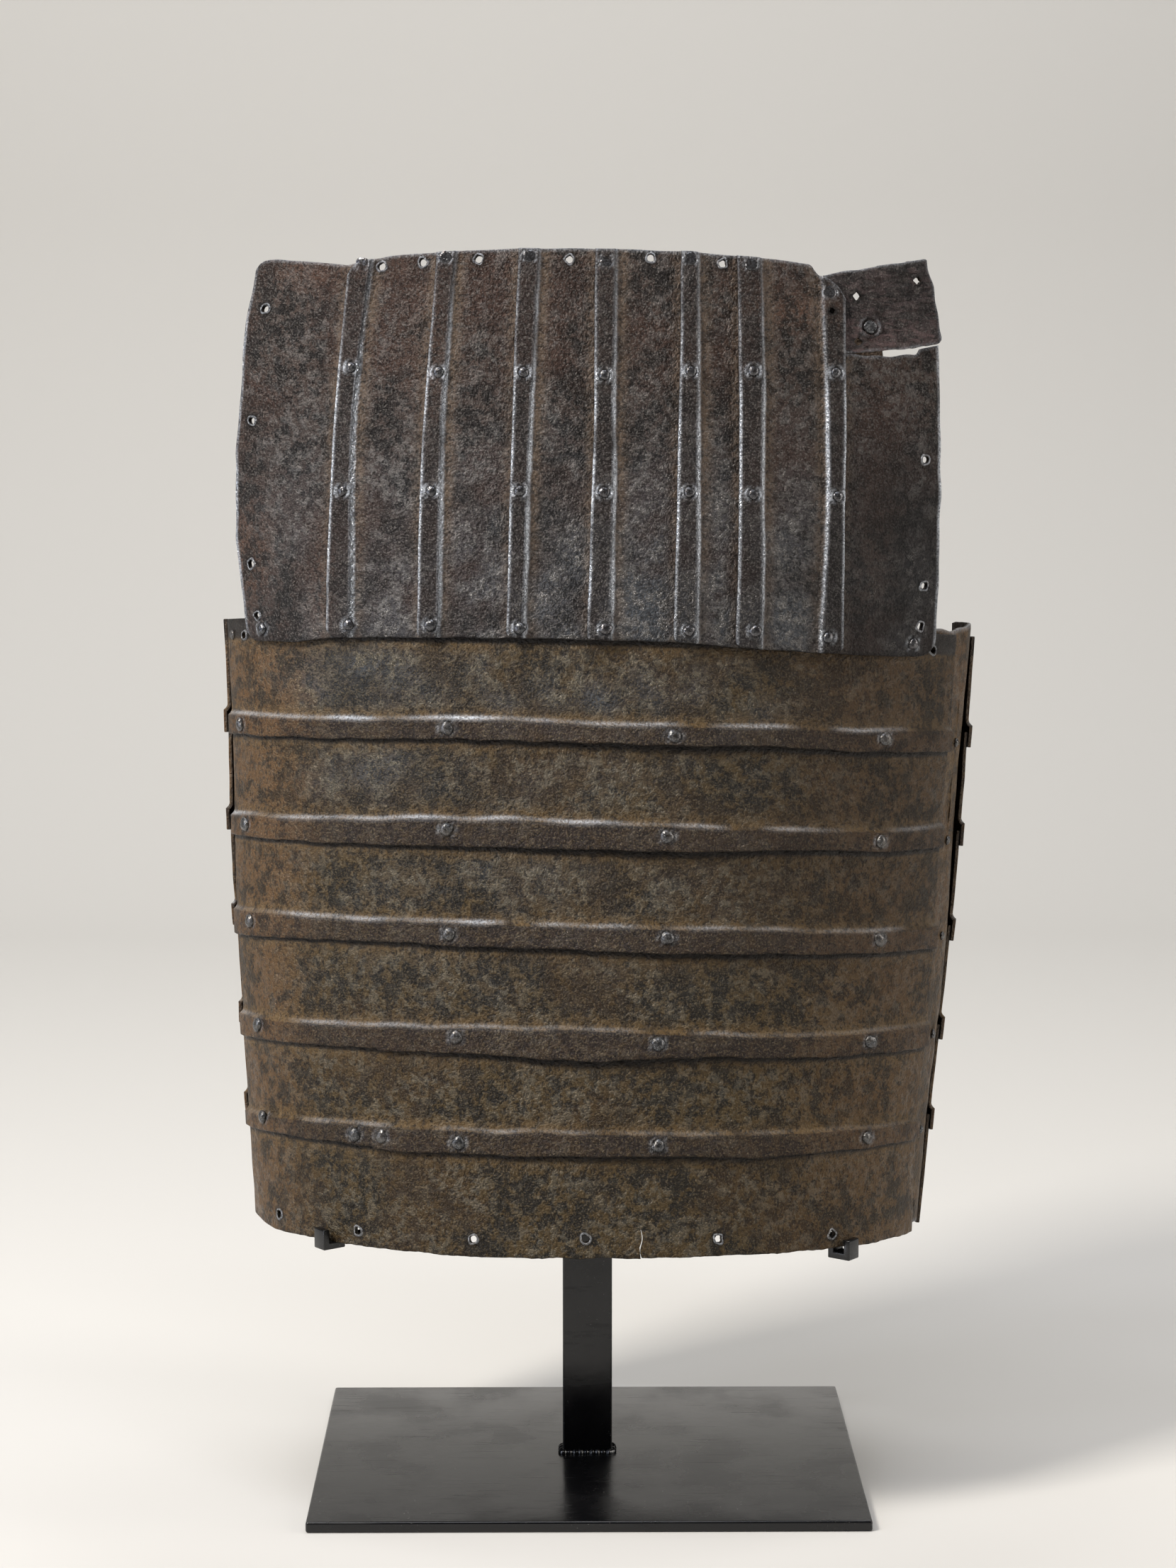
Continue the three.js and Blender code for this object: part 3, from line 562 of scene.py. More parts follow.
def turned(spots: Sequence[Spot], profile: Pairs, seed: int, wobble: float = 0.06) -> Shell:
    """Turns forms at many spots at once: a profile swept round each spot's normal, with an uneven outline.

    A point at turn f on a ring of radius r lies at r (1 + w(f)) from the axis, where w is the sum of waves
    that go two to four times round, drawn for each spot. A profile that starts on the axis is closed with
    fans, and one that does not is closed on itself.

    Args:
        spots: Where the forms stand.
        profile: Radius and rise of each ring, from the inside of the iron outward.
        seed: Fixes the drawn outlines.
        wobble: How uneven the outline is, as a share of the radius.

    Returns:
        All forms as one shell.
    """
    if not spots:
        return empty_shell()
    draw = np.random.default_rng(seed)
    count, solid = len(spots), profile[0][0] == 0.0
    rings = np.array(profile[1:-1] if solid else profile)
    turn = np.linspace(0.0, math.tau, TURN_SIDES, endpoint=False)
    uneven = np.zeros((count, TURN_SIDES))
    for times in (2, 3, 4):
        phase = draw.uniform(0.0, math.tau, (count, 1))
        uneven += draw.uniform(0.3, 1.0, (count, 1)) * np.sin(times * turn + phase)
    size = 1.0 + draw.uniform(-0.05, 0.05, (count, 1))
    centre = np.array([s.point for s in spots])
    normal = np.array([s.normal for s in spots])
    aside = np.cross([0.0, 0.0, 1.0], normal)
    aside /= np.linalg.norm(aside, axis=1, keepdims=True)
    above = np.cross(normal, aside)
    radius = rings[None, :, 0, None] * (size * (1.0 + wobble * uneven))[:, None, :]
    tilt = draw.uniform(-0.09, 0.09, (count, 2))
    lean = tilt[:, :1] * np.cos(turn) + tilt[:, 1:] * np.sin(turn)
    rise = rings[None, :, 1, None] + radius * lean[:, None, :] * (rings[None, :, 1, None] > 0.0)
    ring_points = (
        centre[:, None, None]
        + aside[:, None, None] * (radius * np.cos(turn))[..., None]
        + above[:, None, None] * (radius * np.sin(turn))[..., None]
        + normal[:, None, None] * rise[..., None]
    )
    levels = len(rings)
    each = levels * TURN_SIDES
    index = np.arange(each).reshape(levels, TURN_SIDES)
    ahead = np.roll(index, -1, axis=1)
    following = index[1:] if solid else np.roll(index, -1, axis=0)
    following_ahead = ahead[1:] if solid else np.roll(ahead, -1, axis=0)
    here, next_side = (index[:-1], ahead[:-1]) if solid else (index, ahead)
    one = np.stack([here, next_side, following_ahead, following], axis=-1).reshape(-1, 4)
    starts = (np.arange(count) * each)[:, None, None]
    quads = (one[None] + starts).reshape(-1, 4)
    points = ring_points.reshape(-1, 3)
    shine = np.broadcast_to((rings[:, 1] > 0.1)[None, :, None], ring_points.shape[:3]).astype(float).ravel()
    triangles = np.zeros((0, 3), int)
    if solid:
        low = centre + normal * profile[0][1]
        high = centre + normal * profile[-1][1]
        base = len(points) + np.arange(count)
        under = np.stack([index[0], np.full(TURN_SIDES, -1), ahead[0]], axis=-1)
        over = np.stack([index[-1], ahead[-1], np.full(TURN_SIDES, -1)], axis=-1)
        fans = []
        for fan, pole in ((under, base), (over, base + count)):
            filled = np.where(fan[None] < 0, pole[:, None, None], fan[None] + starts)
            fans.append(filled.reshape(-1, 3))
        triangles = np.concatenate(fans)
        points = np.concatenate([points, low, high])
        shine = np.concatenate([shine, np.zeros(count), np.full(count, 0.5)])
    # Painted highlight on the raised rings of heads and burrs, painted shade on the rings at their foot
    marks = {
        "wear": (0.16 if solid else 0.4) * shine,
        "grime": 0.7 * (1.0 - shine),
        "head": np.full(len(points), float(solid)),
    }
    return Shell(points, quads, triangles, marks)


class SeamRow(NamedTuple):
    """A level seam at an x: heights of its cut edge and the soft line over it, and how far it gapes."""

    x: float
    cut: float
    soft: float
    gape: float


@dataclass(frozen=True)
class Seam:
    """The lower border of a level lame, set out over the lame below. Shears left its edge uneven."""

    rows: tuple[SeamRow, ...]
    seed: int
    lapped: bool = True
    joint: float | None = None

    def read(self, name: str, x: np.ndarray) -> np.ndarray:
        """One column of the table at an x."""
        return smooth_read(x, [r.x for r in self.rows], [getattr(r, name) for r in self.rows])

    def level(self) -> float:
        """Mean height of the cut edge."""
        return float(np.mean([row.cut for row in self.rows]))

    def cut(self, x: np.ndarray) -> np.ndarray:
        """Height of the cut edge, with waves of about 20 and 5 mm along it."""
        fine = 0.12 * ripple(self.seed + 1, x, 0.0, 4.6)
        return self.read("cut", x) + 0.22 * ripple(self.seed, x, 0.0, 21.0) + fine

    def soft(self, x: np.ndarray) -> np.ndarray:
        """Height of the soft line, with waves of about 26 mm along it."""
        return self.read("soft", x) + 0.25 * ripple(self.seed + 2, x, 0.0, 26.0)


def seam(seed: int, *rows: tuple[float, float, float, float], **options: object) -> Seam:
    """A seam from rows of x, cut, soft and gape."""
    return Seam(tuple(SeamRow(*row) for row in rows), seed, **options)


WAIST_SEAMS = (
    seam(101, (-168, 220, 229.1, 0), (-116, 220.3, 228.3, 0.1), (-53, 221.4, 230.4, 0.3),
         (-4, 221.3, 229, 0.8), (40, 220.7, 229.1, 1.1), (74, 221.2, 229.2, 0.8), (108, 219.5, 228.3, 0.4),
         (159, 219.3, 229, 0)),
    seam(111, (-165, 174.5, 183.9, 0), (-115, 174.5, 184.8, 0.1), (-62, 175.3, 187, 0.2),
         (-4, 175.4, 186.6, 0.8), (41, 175.2, 185.6, 0.9), (86, 176.1, 184.7, 0.4),
         (134, 175.6, 184.4, 0.2), (157, 176.7, 185.7, 0)),
    seam(121, (-162, 129.5, 141.2, 0), (-114, 132.2, 141.5, 0.1), (-62, 132.5, 142.2, 0.3),
         (-2, 132.2, 142.2, 0.5), (29, 131.5, 142, 0.6), (87, 131.2, 141, 0.5), (123, 130.8, 139.9, 0.3),
         (153, 130.9, 140.8, 0)),
    seam(131, (-159, 83.8, 93.3, 0), (-125, 85.3, 94.5, 0), (-98, 86.2, 95.6, 0.1), (-50, 86.4, 97.3, 0.5),
         (-1, 84.9, 97.9, 1.1), (43, 87.1, 96.7, 0.8), (88, 86.1, 95.4, 0.3), (152, 86.6, 96.8, 0),
         joint=-93.0),
    seam(141, (-153, 42.8, 49.5, 0), (-113, 43.7, 51.8, 0.1), (-80, 43.3, 52.6, 0.2), (-49, 43.3, 53, 0.3),
         (-1, 43.9, 53.6, 0.6), (31, 44.5, 53.5, 0.5), (72, 43.2, 53.3, 0.4), (101, 44.3, 53.2, 0.3),
         (150, 45, 52.4, 0), joint=-95.0),
    seam(151, (-152, 3, 3, 0), (-146, 0.8, 0.8, 0), (-123, -0.5, -0.5, 0), (-85, -0.9, -0.9, 0),
         (-48, -0.8, -0.8, 0), (0, 0.3, 0.3, 0), (45, 1, 1, 0), (140, 1.2, 1.2, 0), (148, 1.1, 1.1, 0),
         lapped=False),
)
WAIST_TOP = 272.0
CHEST_HEM = 264.6


class SideRow(NamedTuple):
    """Where a lame's side edge is at a height: degrees round the ring, and how far it is sprung off."""

    height: float
    turn: float
    flare: float = 0.0


def side_at(rows: tuple[SideRow, ...], name: str, height: np.ndarray) -> np.ndarray:
    """A column of a side's table at a height, straight between rows."""
    return np.interp(height, [r.height for r in rows], [getattr(r, name) for r in rows])


@dataclass(frozen=True)
class LevelLame:
    """One level lame of the waist, front or back, from its cut edge to its top behind the lame above."""

    below: Seam
    above: Seam | None
    start: tuple[SideRow, ...]
    end: tuple[SideRow, ...]
    across: int
    up: int
    crack: float | None = None
    flare_end: float = 96.0
    bend_lead: float = 0.35
    bend_run: float = 2.4
    degree: float = 1.8
    half_height: float = 20.0
    crack_rise: float = 13.0
    crack_width: float = 0.9
    sheen: tuple[Area, ...] = (Area(-112.0, 250.0, 34.0, 15.0), Area(-95.0, 205.0, 30.0, 12.0, 0.7))
    broken_sheen: tuple[Area, ...] = (
        Area(-10.0, 240.0, 95.0, 22.0, 0.7), Area(-30.0, 160.0, 90.0, 60.0, 0.45))

    def sheet(self) -> Sheet:
        """Lays out the lame: rows follow the cut edge, the soft step and the top, and columns go round.

        Within the border the sheet stands one lap step out, and it comes down to the ring along a smooth
        step. The cut edge gapes a little more where the lame has sprung.

        Returns:
            The lame's outer side.
        """
        lapped = self.below.lapped
        columns = stations(edge_cells(self.across))
        rows = stations(edge_cells(8, 7, self.up) if lapped else edge_cells(self.up))
        x = self.places(columns)
        cut, soft = self.below.cut(x), self.below.soft(x)
        covered = self.above.cut(x) if self.above else np.full(x.shape, CHEST_HEM)
        top = covered + LAP_HIDDEN
        if not self.above:
            top = WAIST_TOP + 0.3 * ripple(self.below.seed + 5, x, 0.0, 30.0)
        step = [soft - self.bend_lead, soft + self.bend_run] if lapped else []
        height = grid_heights(edged(cut, top, step), rows, columns)
        angle = np.radians(self.turns(height.T, columns).T)
        border = 0.0 * height
        if lapped:
            border = bent((height - soft + self.bend_lead) / (self.bend_run + self.bend_lead))
        gape = self.below.read("gape", x) * border * ease((soft - height) / (soft - cut + 0.01))
        out = LAP_STEP * border + gape
        if self.below.joint is not None:
            out, height = self.jointed(x - self.below.joint, border, out, height)
        out = out + self.flared(np.degrees(angle), height)
        if self.crack is not None:
            angle, torn = self.torn(angle, height, x)
        sheet = Sheet(WAIST_FORM.outside(angle, height, out), self.fall(angle, height), {})
        if self.crack is not None:
            sheet.kept &= ~torn
        sheet.marks = self.marks(x + 0.0 * height, height, soft, covered, border)
        return sheet

    def places(self, columns: Stations) -> np.ndarray:
        """The columns' places across the front, read at the lame's middle.

        Args:
            columns: The grid's columns.

        Returns:
            An x for each column.
        """
        level = self.below.level() + self.half_height
        nominal = self.turns(np.full((len(columns.stretch), 1), level), columns)[:, 0]
        half, _ = WAIST_FORM.sizes(np.radians(nominal), np.full(nominal.shape, level))
        return half * np.sin(np.radians(nominal))

    def turns(self, height: np.ndarray, columns: Stations) -> np.ndarray:
        """Degrees round the ring of every column, the first axis, at its heights."""
        start, end = side_at(self.start, "turn", height), side_at(self.end, "turn", height)
        return lines_between(edged(start, end, unit=self.degree), columns)

    def jointed(
        self, beside: np.ndarray, border: np.ndarray, out: np.ndarray, height: np.ndarray
    ) -> tuple[np.ndarray, np.ndarray]:
        """Makes the step where a second strip of iron was let into the border.

        Args:
            beside: How far each column is to the right of the step.
            border: Where the set-out border is.
            out: How far the sheet is set out.
            height: The grid's heights.

        Returns:
            The set-out and the heights with the step in them.
        """
        start = border * ease(beside / 0.9)
        raised = 0.6 * start * (1.0 - ease((beside - 8.0) / 30.0))
        lowered = 0.9 * start * (1.0 - ease((beside - 10.0) / 24.0))
        return out + raised, height - lowered

    def flared(self, turn: np.ndarray, height: np.ndarray) -> np.ndarray:
        """How far the side borders are sprung off what lies inside them, falling evenly to nothing.

        Args:
            turn: The grid's places round the ring, in degrees.
            height: The grid's heights.

        Returns:
            The set-out that springing adds.
        """
        out = np.zeros(turn.shape)
        mirrored = tuple(SideRow(row.height, 360.0 - row.turn, row.flare) for row in self.end)
        for rows, round_turn in ((self.start, turn), (mirrored, 360.0 - turn)):
            edge = side_at(rows, "turn", height)
            share = (self.flare_end - round_turn) / np.maximum(self.flare_end - edge, 0.1)
            out += side_at(rows, "flare", height) * np.clip(share, 0.0, 1.0)
        return out

    def torn(self, angle: np.ndarray, height: np.ndarray, x: np.ndarray) -> tuple[np.ndarray, np.ndarray]:
        """Opens a crack that rises from the hem and closes to nothing.

        Args:
            angle: The grid's angles.
            height: The grid's heights.
            x: The columns' places across the front.

        Returns:
            The angles with the two columns beside the crack drawn to its sides, and the faces that lie in it.
        """
        column = int(np.argmin(np.abs((x[:-1] + x[1:]) / 2 - self.crack)))
        rows = height[:, column] < self.crack_rise
        side = 0.5 * self.crack_width * (1.0 - height[:, column] / self.crack_rise) + 0.06
        wander = self.crack + 0.5 * ripple(7, height[:, column], 0.0, 9.0)
        angle = angle.copy()
        for offset, sign in ((0, -1.0), (1, 1.0)):
            edge = WAIST_FORM.angle_at(wander + sign * side, height[:, column])
            angle[:, column + offset] = np.where(rows, edge, angle[:, column + offset])
        gone = np.zeros((angle.shape[0] - 1, angle.shape[1] - 1), bool)
        gone[:, column] = rows[:-1] & rows[1:]
        return angle, gone

    def fall(self, angle: np.ndarray, height: np.ndarray) -> np.ndarray:
        """How far the outer side falls away towards the four cut edges."""
        beside = inset(angle) * math.degrees(1.0) * self.degree
        return edge_fall(np.minimum(beside, inset(height.T).T))

    def marks(
        self, x: np.ndarray, height: np.ndarray, soft: np.ndarray, covered: np.ndarray, border: np.ndarray
    ) -> Marks:
        """Works out what the finish needs at each point.

        Args:
            x: The points' places across the front.
            height: The points' heights.
            soft: Height of the soft line in each column.
            covered: Height in each column from which the sheet above covers this one.
            border: Where the set-out border is.

        Returns:
            Border, ochre halo beside seams, painted highlights on the slopes over the soft lines, painted
            shadow under the lame above with painted shade along the cut edge and towards the upper right,
            orange rust and blue-grey areas.
        """
        lapped, above = float(self.below.lapped), height - soft
        hidden = np.maximum(covered - height, 0.0)
        beside = lapped * np.where(above > 0.0, hill(above - 1.0, 3.4), 0.0)
        under = 0.8 * hill(hidden - 1.0, 4.0)
        patchy = 0.55 + 0.45 * ripple(self.below.seed + 7, x, height, 34.0)
        # Painted highlight on the slope above the soft line, brighter to the left and higher up, where the
        # light falls
        lit = (0.42 + 0.53 * ease((30.0 - x) / 130.0)) * (0.35 + 0.65 * ease((height - 60.0) / 140.0))
        wear = np.clip(lapped * hill(above - 0.8, 0.9) * patchy * lit, 0.0, 1.0)
        # Painted shadow under the cut edge of the lame above, painted shade along this lame's own cut edge,
        # and painted shade darker towards the upper right
        shade = 1.7 + 1.5 * (self.above.read("gape", x) if self.above else 0.0)
        dim = 0.36 * ease((x - 10.0) / 110.0) * ease((height - 60.0) / 120.0)
        edge = 0.6 * hill(height - height[0], 0.35)
        side = np.clip(0.8 * ease((-112.0 - x) / 38.0) + 0.5 * ease((x - 60.0) / 80.0), 0.0, 1.0)
        broken = 0.6 + 0.4 * ripple(77, x, height, 26.0)
        cool = areas(self.sheen, x, height) + broken * areas(self.broken_sheen, x, height)
        return {
            "band": border,
            "halo": np.clip(np.maximum(beside, under), 0.0, 1.0),
            "wear": np.clip(wear * (1.0 - 0.5 * side), 0.0, 1.0),
            "grime": np.clip(np.exp(-((hidden / shade) ** 4)) + edge + dim, 0.0, 1.0),
            "rust": side,
            "cool": np.clip(cool, 0.0, 1.0),
        }


@dataclass
class WaistFront:
    """The six level lames of the front, each lapped over the one below and riveted to it."""

    start: tuple[SideRow, ...] = (SideRow(0.0, -80.0),)
    end: tuple[SideRow, ...] = (SideRow(0.0, 76.0), SideRow(60.0, 70.5))
    rivets: tuple[Pairs, ...] = (
        ((-157.5, 224.6), (-65, 226.2), (32, 225.1), (125, 225.2)),
        ((-154.5, 180), (-64, 182.6), (30, 181.8), (124, 179.8)),
        ((-150.5, 136.9), (-62, 137.6), (31, 138.3), (124, 136.7)),
        ((-146.5, 90.8), (-58, 93.4), (28, 93.0), (121, 92.0)),
        ((-143.5, 49.4), (-101, 47.9), (-89, 48.4), (-56, 48.0), (29, 49.3), (121, 49.2)),
        (),
    )
    hem_holes: Pairs = (
        (-136, 6.9), (-100, 5.6), (-49, 6.7), (-1, 8.7), (56, 8.7), (107, 7.6))
    top_holes: Pairs = ((148, 264.8), (-158, 264.7))
    small_rivet: tuple[float, float] = (-163.6, 264.9)
    crack: float = 22.6

    def pieces(self) -> dict[str, Shell]:
        """Makes each lame with its rivets and holes.

        Returns:
            The lames, by the name of the node that each stands for.
        """
        made = {}
        for number, below in enumerate(WAIST_SEAMS):
            last = number == len(WAIST_SEAMS) - 1
            above = WAIST_SEAMS[number - 1] if number else None
            crack = self.crack if last else None
            lame = LevelLame(below, above, self.start, self.end, 262, 34, crack=crack)
            holes = self.hem_holes if last else self.top_holes if number == 0 else ()
            fitted = self.fitted(lame.sheet(), self.rivets[number], holes, 300 + 10 * number)
            made[f"waist_lame_{number + 1}"] = fitted
        return made

    def fitted(self, sheet: Sheet, rivets: Pairs, holes: Pairs, seed: int) -> Shell:
        """Sets rivets and punches holes in a lame.

        Args:
            sheet: The lame.
            rivets: Where its rivets stand, as x and height, in its set-out border.
            holes: Where its holes are, as x and height.
            seed: Fixes the outlines of heads and burrs.

        Returns:
            The lame with its heads and burrs.
        """
        heads, burrs = spots_at(WAIST_FORM, rivets, LAP_STEP), spots_at(WAIST_FORM, holes, 0.0)
        for spot in heads:
            sheet.collar(spot, WAIST_COLLAR)
        for spot in burrs:
            sheet.punch(spot, HOLE_RADIUS)
        small = spots_at(WAIST_FORM, [self.small_rivet], 0.0) if holes == self.top_holes else []
        return sheet.shell().joined(
            turned(heads, Head.DOMED.value, seed),
            turned(small, Head.SMALL.value, seed + 2),
            turned(burrs, BURR, seed + 1, 0.09),
        )


BAND_HEIGHTS = (275.0, 296.0, 330.0, 363.0, 396.0, 431.0)


@dataclass(frozen=True)
class BandLine:
    """One line of an upright band: its x at six heights from the bottom, cut unevenly by hand."""

    at: tuple[float, ...]
    seed: int
    rough: float = 0.1

    def x(self, height: np.ndarray) -> np.ndarray:
        """The line's x at a height."""
        wave = ripple(self.seed, height, 0.0, 48.0) + 0.4 * ripple(self.seed + 1, height, 0.0, 8.0)
        return smooth_read(height, BAND_HEIGHTS, self.at) + self.rough * wave


CHEST_BANDS = (
    (BandLine((-118.9, -118.8, -118.1, -116.8, -114.8, -111.8), 401),
     BandLine((-108, -108.3, -108.9, -108.2, -106, -102), 403, 0.2)),
    (BandLine((-79.1, -79, -78.8, -77.9, -76, -73.9), 405),
     BandLine((-69.9, -70, -70.2, -69.9, -68.3, -66), 407, 0.2)),
    (BandLine((-40.4, -40.3, -40.1, -39.9, -39.6, -38.8), 409),
     BandLine((-33, -32.9, -32.6, -32, -31, -30), 411, 0.2)),
    (BandLine((-5.9, -5.6, -5.2, -5, -5.6, -5.9), 413),
     BandLine((4, 4.1, 4, 3.4, 3.1, 2.9), 415, 0.2)),
    (BandLine((31, 31.2, 31.3, 31.3, 31.2, 31), 417),
     BandLine((41, 40.7, 40.2, 39.5, 38.8, 38.1), 419, 0.2)),
    (BandLine((57.7, 58, 58, 57.3, 56.2, 55), 421),
     BandLine((69, 68.8, 68.3, 67.7, 66.8, 65.2), 423, 0.2)),
    (BandLine((95.2, 96.3, 97, 96, 94.1, 92), 425, 0.2),
     BandLine((105, 104.8, 104.4, 104, 103.2, 102.2), 427)),
)


class Corners(NamedTuple):
    """Radii of an upright lame's rounded corners."""

    low_left: float = 0.0
    low_right: float = 0.0
    high_left: float = 0.0


CHEST_CORNERS = {
    1: Corners(8.0, high_left=6.0), 2: Corners(6.0, high_left=7.0), 3: Corners(3.0), 4: Corners(3.5),
    5: Corners(2.0), 6: Corners(3.0), 7: Corners(3.0, 4.0), 8: Corners(low_right=8.0),
}
PASSES = 4  # how often rows and columns that depend on each other are found again


@dataclass(frozen=True)
class UprightLame:
    """One upright lame of the chest. Its set-out border lies over the next lame, and its ends are free."""

    number: int
    bend_run: float = 2.4
    bend_lead: float = 0.35
    hidden_short: float = 1.4
    hidden_inset: float = 1.0
    tab_x: float = 137.0
    tab_gap: float = 0.6
    left_edge: Pairs = (
        (255, -152), (267, -157), (276, -158.4), (289, -159.5), (308, -162), (345, -162.5), (402, -159),
        (432, -154))
    right_edge: Pairs = (
        (255, 147), (271, 149), (330, 149), (380, 147), (400, 146), (425, 142), (440, 138))
    hem: Pairs = (
        (-165, 262), (-134, 262), (-112, 264.6), (-40, 265.6), (30, 265.4), (67, 263.4), (120, 261.3),
        (150, 262))
    top: Pairs = (
        (-165, 429), (-145, 430), (-130, 428.2), (-113, 426.2), (-108, 427.5), (-94, 430.2), (-74, 431.7),
        (-40, 433.4), (-9, 434), (35, 433.8), (72, 431.9), (84, 430.7))
    broken_top: Pairs = (
        (84, 430.7), (87.5, 430.3), (89.5, 427.5), (91, 425.6), (95, 424.4), (99.5, 421), (102, 417),
        (105, 413))
    stub_top: Pairs = ((91, 391), (104, 391.6), (120, 392.8), (136, 393.4))

    rust: tuple[Area, ...] = (
        Area(-159, 297, 15, 24, 0.9), Area(82, 410, 17, 9, 0.75), Area(-128, 425, 26, 10, 0.4),
        Area(-76, 390, 10, 30, 0.35), Area(118, 300, 9, 40, 0.5), Area(-122, 285, 7, 26, 0.45))

    def across(self, height: np.ndarray) -> tuple[list[np.ndarray], list[int]]:
        """Finds the key lines across the lame.

        Args:
            height: The grid's heights.

        Returns:
            The x of each key line at those heights, and how many cells lie between them.
        """
        inner, cells = [], []
        if self.number == 1:
            start = straight_read(height, self.left_edge) + 0.3 * ripple(431, height, 0.0, 26.0)
        elif self.number == 8:
            start = CHEST_BANDS[6][0].x(height) + self.hidden_inset
        else:
            start, bend = (line.x(height) for line in CHEST_BANDS[self.number - 2])
            inner += [bend - self.bend_lead, bend + self.bend_run]
            cells += [9, 7]
        if self.number == 7:
            bend, end = (line.x(height) for line in CHEST_BANDS[6])
            inner += [bend - self.bend_run, bend + self.bend_lead]
            cells += [24, 7, 8]
        elif self.number == 8:
            end = straight_read(height, self.right_edge) + 0.3 * ripple(441, height, 0.0, 26.0)
            cells += [38]
        else:
            end = CHEST_BANDS[self.number - 1][1].x(height) - self.hidden_short
            cells += [44 if self.number == 1 else 34]
        return edged(start, end, inner), edge_cells(*cells)

    def low(self, x: np.ndarray, start: np.ndarray, end: np.ndarray) -> np.ndarray:
        """The lower end, with the corners of a free edge rounded by its own radius.

        Args:
            x: The grid's places across.
            start: Where the lame starts in each row.
            end: Where it ends.

        Returns:
            Heights of the lower end.
        """
        low = straight_read(x, self.hem) + 0.18 * ripple(450 + self.number, x, 0.0, 17.0)
        corners = CHEST_CORNERS[self.number]
        return low + corner(x - start, corners.low_left) + corner(end - x, corners.low_right)

    def high(self, x: np.ndarray, start: np.ndarray) -> np.ndarray:
        """The upper end: level, or broken off on the last two lames.

        Args:
            x: The grid's places across.
            start: Where the lame starts in each row.

        Returns:
            Heights of the upper end.
        """
        if self.number == 8:
            high = straight_read(x, self.stub_top) + 0.5 * ripple(461, x, 0.0, 15.0)
            tab = straight_read(x, RepairPatch().low_edge) - self.tab_gap
            return high + (tab - high) * ease((x - self.tab_x + 1.0) / 2.0)
        high = straight_read(x, self.top + self.broken_top[1:]) + 0.2 * ripple(470, x, 0.0, 22.0)
        return high - corner(x - start, CHEST_CORNERS[self.number].high_left)

    def sheet(self) -> Sheet:
        """Lays out the lame: columns follow its cut edges and bends, rows its ends, found in a few passes.

        Returns:
            The lame's outer side.
        """
        _, cells = self.across(np.array(300.0))
        columns, rows = stations(cells), stations(edge_cells(132 if self.number < 8 else 100))
        height = np.linspace(262.0, 429.0, len(rows.stretch))[:, None] + np.zeros((1, len(columns.stretch)))
        for _ in range(PASSES):
            keys, _ = self.across(height)
            x = lines_between([key.T for key in keys], columns).T
            low, high = self.low(x, x[:, :1], x[:, -1:]), self.high(x, x[:, :1])
            height = lines_between(edged(low, high), rows)
        keys, _ = self.across(height)
        fall = edge_fall(np.minimum(inset(x), np.minimum(height - low, high - height)))
        border = self.border(x, keys)
        spring = np.maximum(0.35 * ripple(480 + self.number, height, 0.0, 90.0) * border, 0.0)
        angle = CHEST_FORM.angle_at(x, height)
        sheet = Sheet(CHEST_FORM.outside(angle, height, LAP_STEP * border + spring), fall, {})
        sheet.marks = self.marks(x, height, border, keys, np.stack([height - low, high - height]))
        return sheet

    def border(self, x: np.ndarray, keys: list[np.ndarray]) -> np.ndarray:
        """1 on a set-out border, 0 on the panel, along the bend between them.

        Args:
            x: The grid's places across.
            keys: The key lines.

        Returns:
            The share of the lap step at each point.
        """
        border, length = np.zeros(x.shape), self.bend_run + self.bend_lead
        if 1 < self.number < 8:
            border = bent((x - keys[3]) / length)
        if self.number == 7:
            border = np.maximum(border, bent((keys[6] - x) / length))
        return border

    def marks(
        self, x: np.ndarray, height: np.ndarray, border: np.ndarray, keys: list[np.ndarray], ends: np.ndarray
    ) -> Marks:
        """Works out what the finish needs at each point.

        Args:
            x: The grid's places across.
            height: The grid's heights.
            border: Where the set-out border is.
            keys: The key lines.
            ends: How far each point is over the lower end and under the upper one.

        Returns:
            Borders, ochre halos, painted highlights along the band lines and the upper end, painted shade
            towards the lower right with darkening along the ends, rust and blue-grey areas.
        """
        lines = [keys[0] + 0.5] if self.number < 8 else []
        halos = []
        if 1 < self.number < 8:
            lines += [keys[3] + self.bend_lead + 0.3, keys[3] + self.bend_lead + 0.7]
            halos.append(x - keys[4])
        if self.number == 7:
            lines += [keys[6] - self.bend_lead - 0.3, keys[-1] - 0.5]
            halos.append(keys[5] - x)
        if self.number == 8:
            lines.append(keys[-1] - 0.3)
            halos.append(x - CHEST_BANDS[6][1].x(height))
        if self.number < 7:
            halos.append(CHEST_BANDS[self.number - 1][0].x(height) - x)
        # Painted highlights along the band lines, strongest at mid height, and along the upper end
        painted_highlight = hill(height - 332.0, 62.0) * (0.72 + 0.4 * ripple(490 + self.number, height, 0.0, 30.0))
        wear = sum(hill(x - line, 0.55) for line in lines) * np.clip(1.15 * painted_highlight + 0.12, 0.0, 1.0)
        halo = sum((hill(np.maximum(d, 0.0), 3.0) * (d > -1.6) for d in halos), np.zeros(x.shape))
        # Painted shade, darker towards the lower right
        dim = 0.65 * ease((x - 80.0) / 40.0) * ease((390.0 - height) / 80.0)
        dull = hill(ends[0], 1.6) + hill(ends[1], 1.2)
        return {
            "band": border,
            "halo": np.clip(halo, 0.0, 1.0) * (0.55 + 0.45 * ease((height - 285.0) / 50.0)),
            "wear": np.clip(wear + 0.25 * hill(ends[1], 0.8), 0.0, 1.0),
            "grime": np.clip(0.25 * dull + dim, 0.0, 1.0),
            "rust": np.clip(areas(self.rust, x, height), 0.0, 1.0),
            "cool": ease((392.0 - height) / 120.0) * (0.5 + 0.5 * hill(x - 25.0, 120.0)),
        }


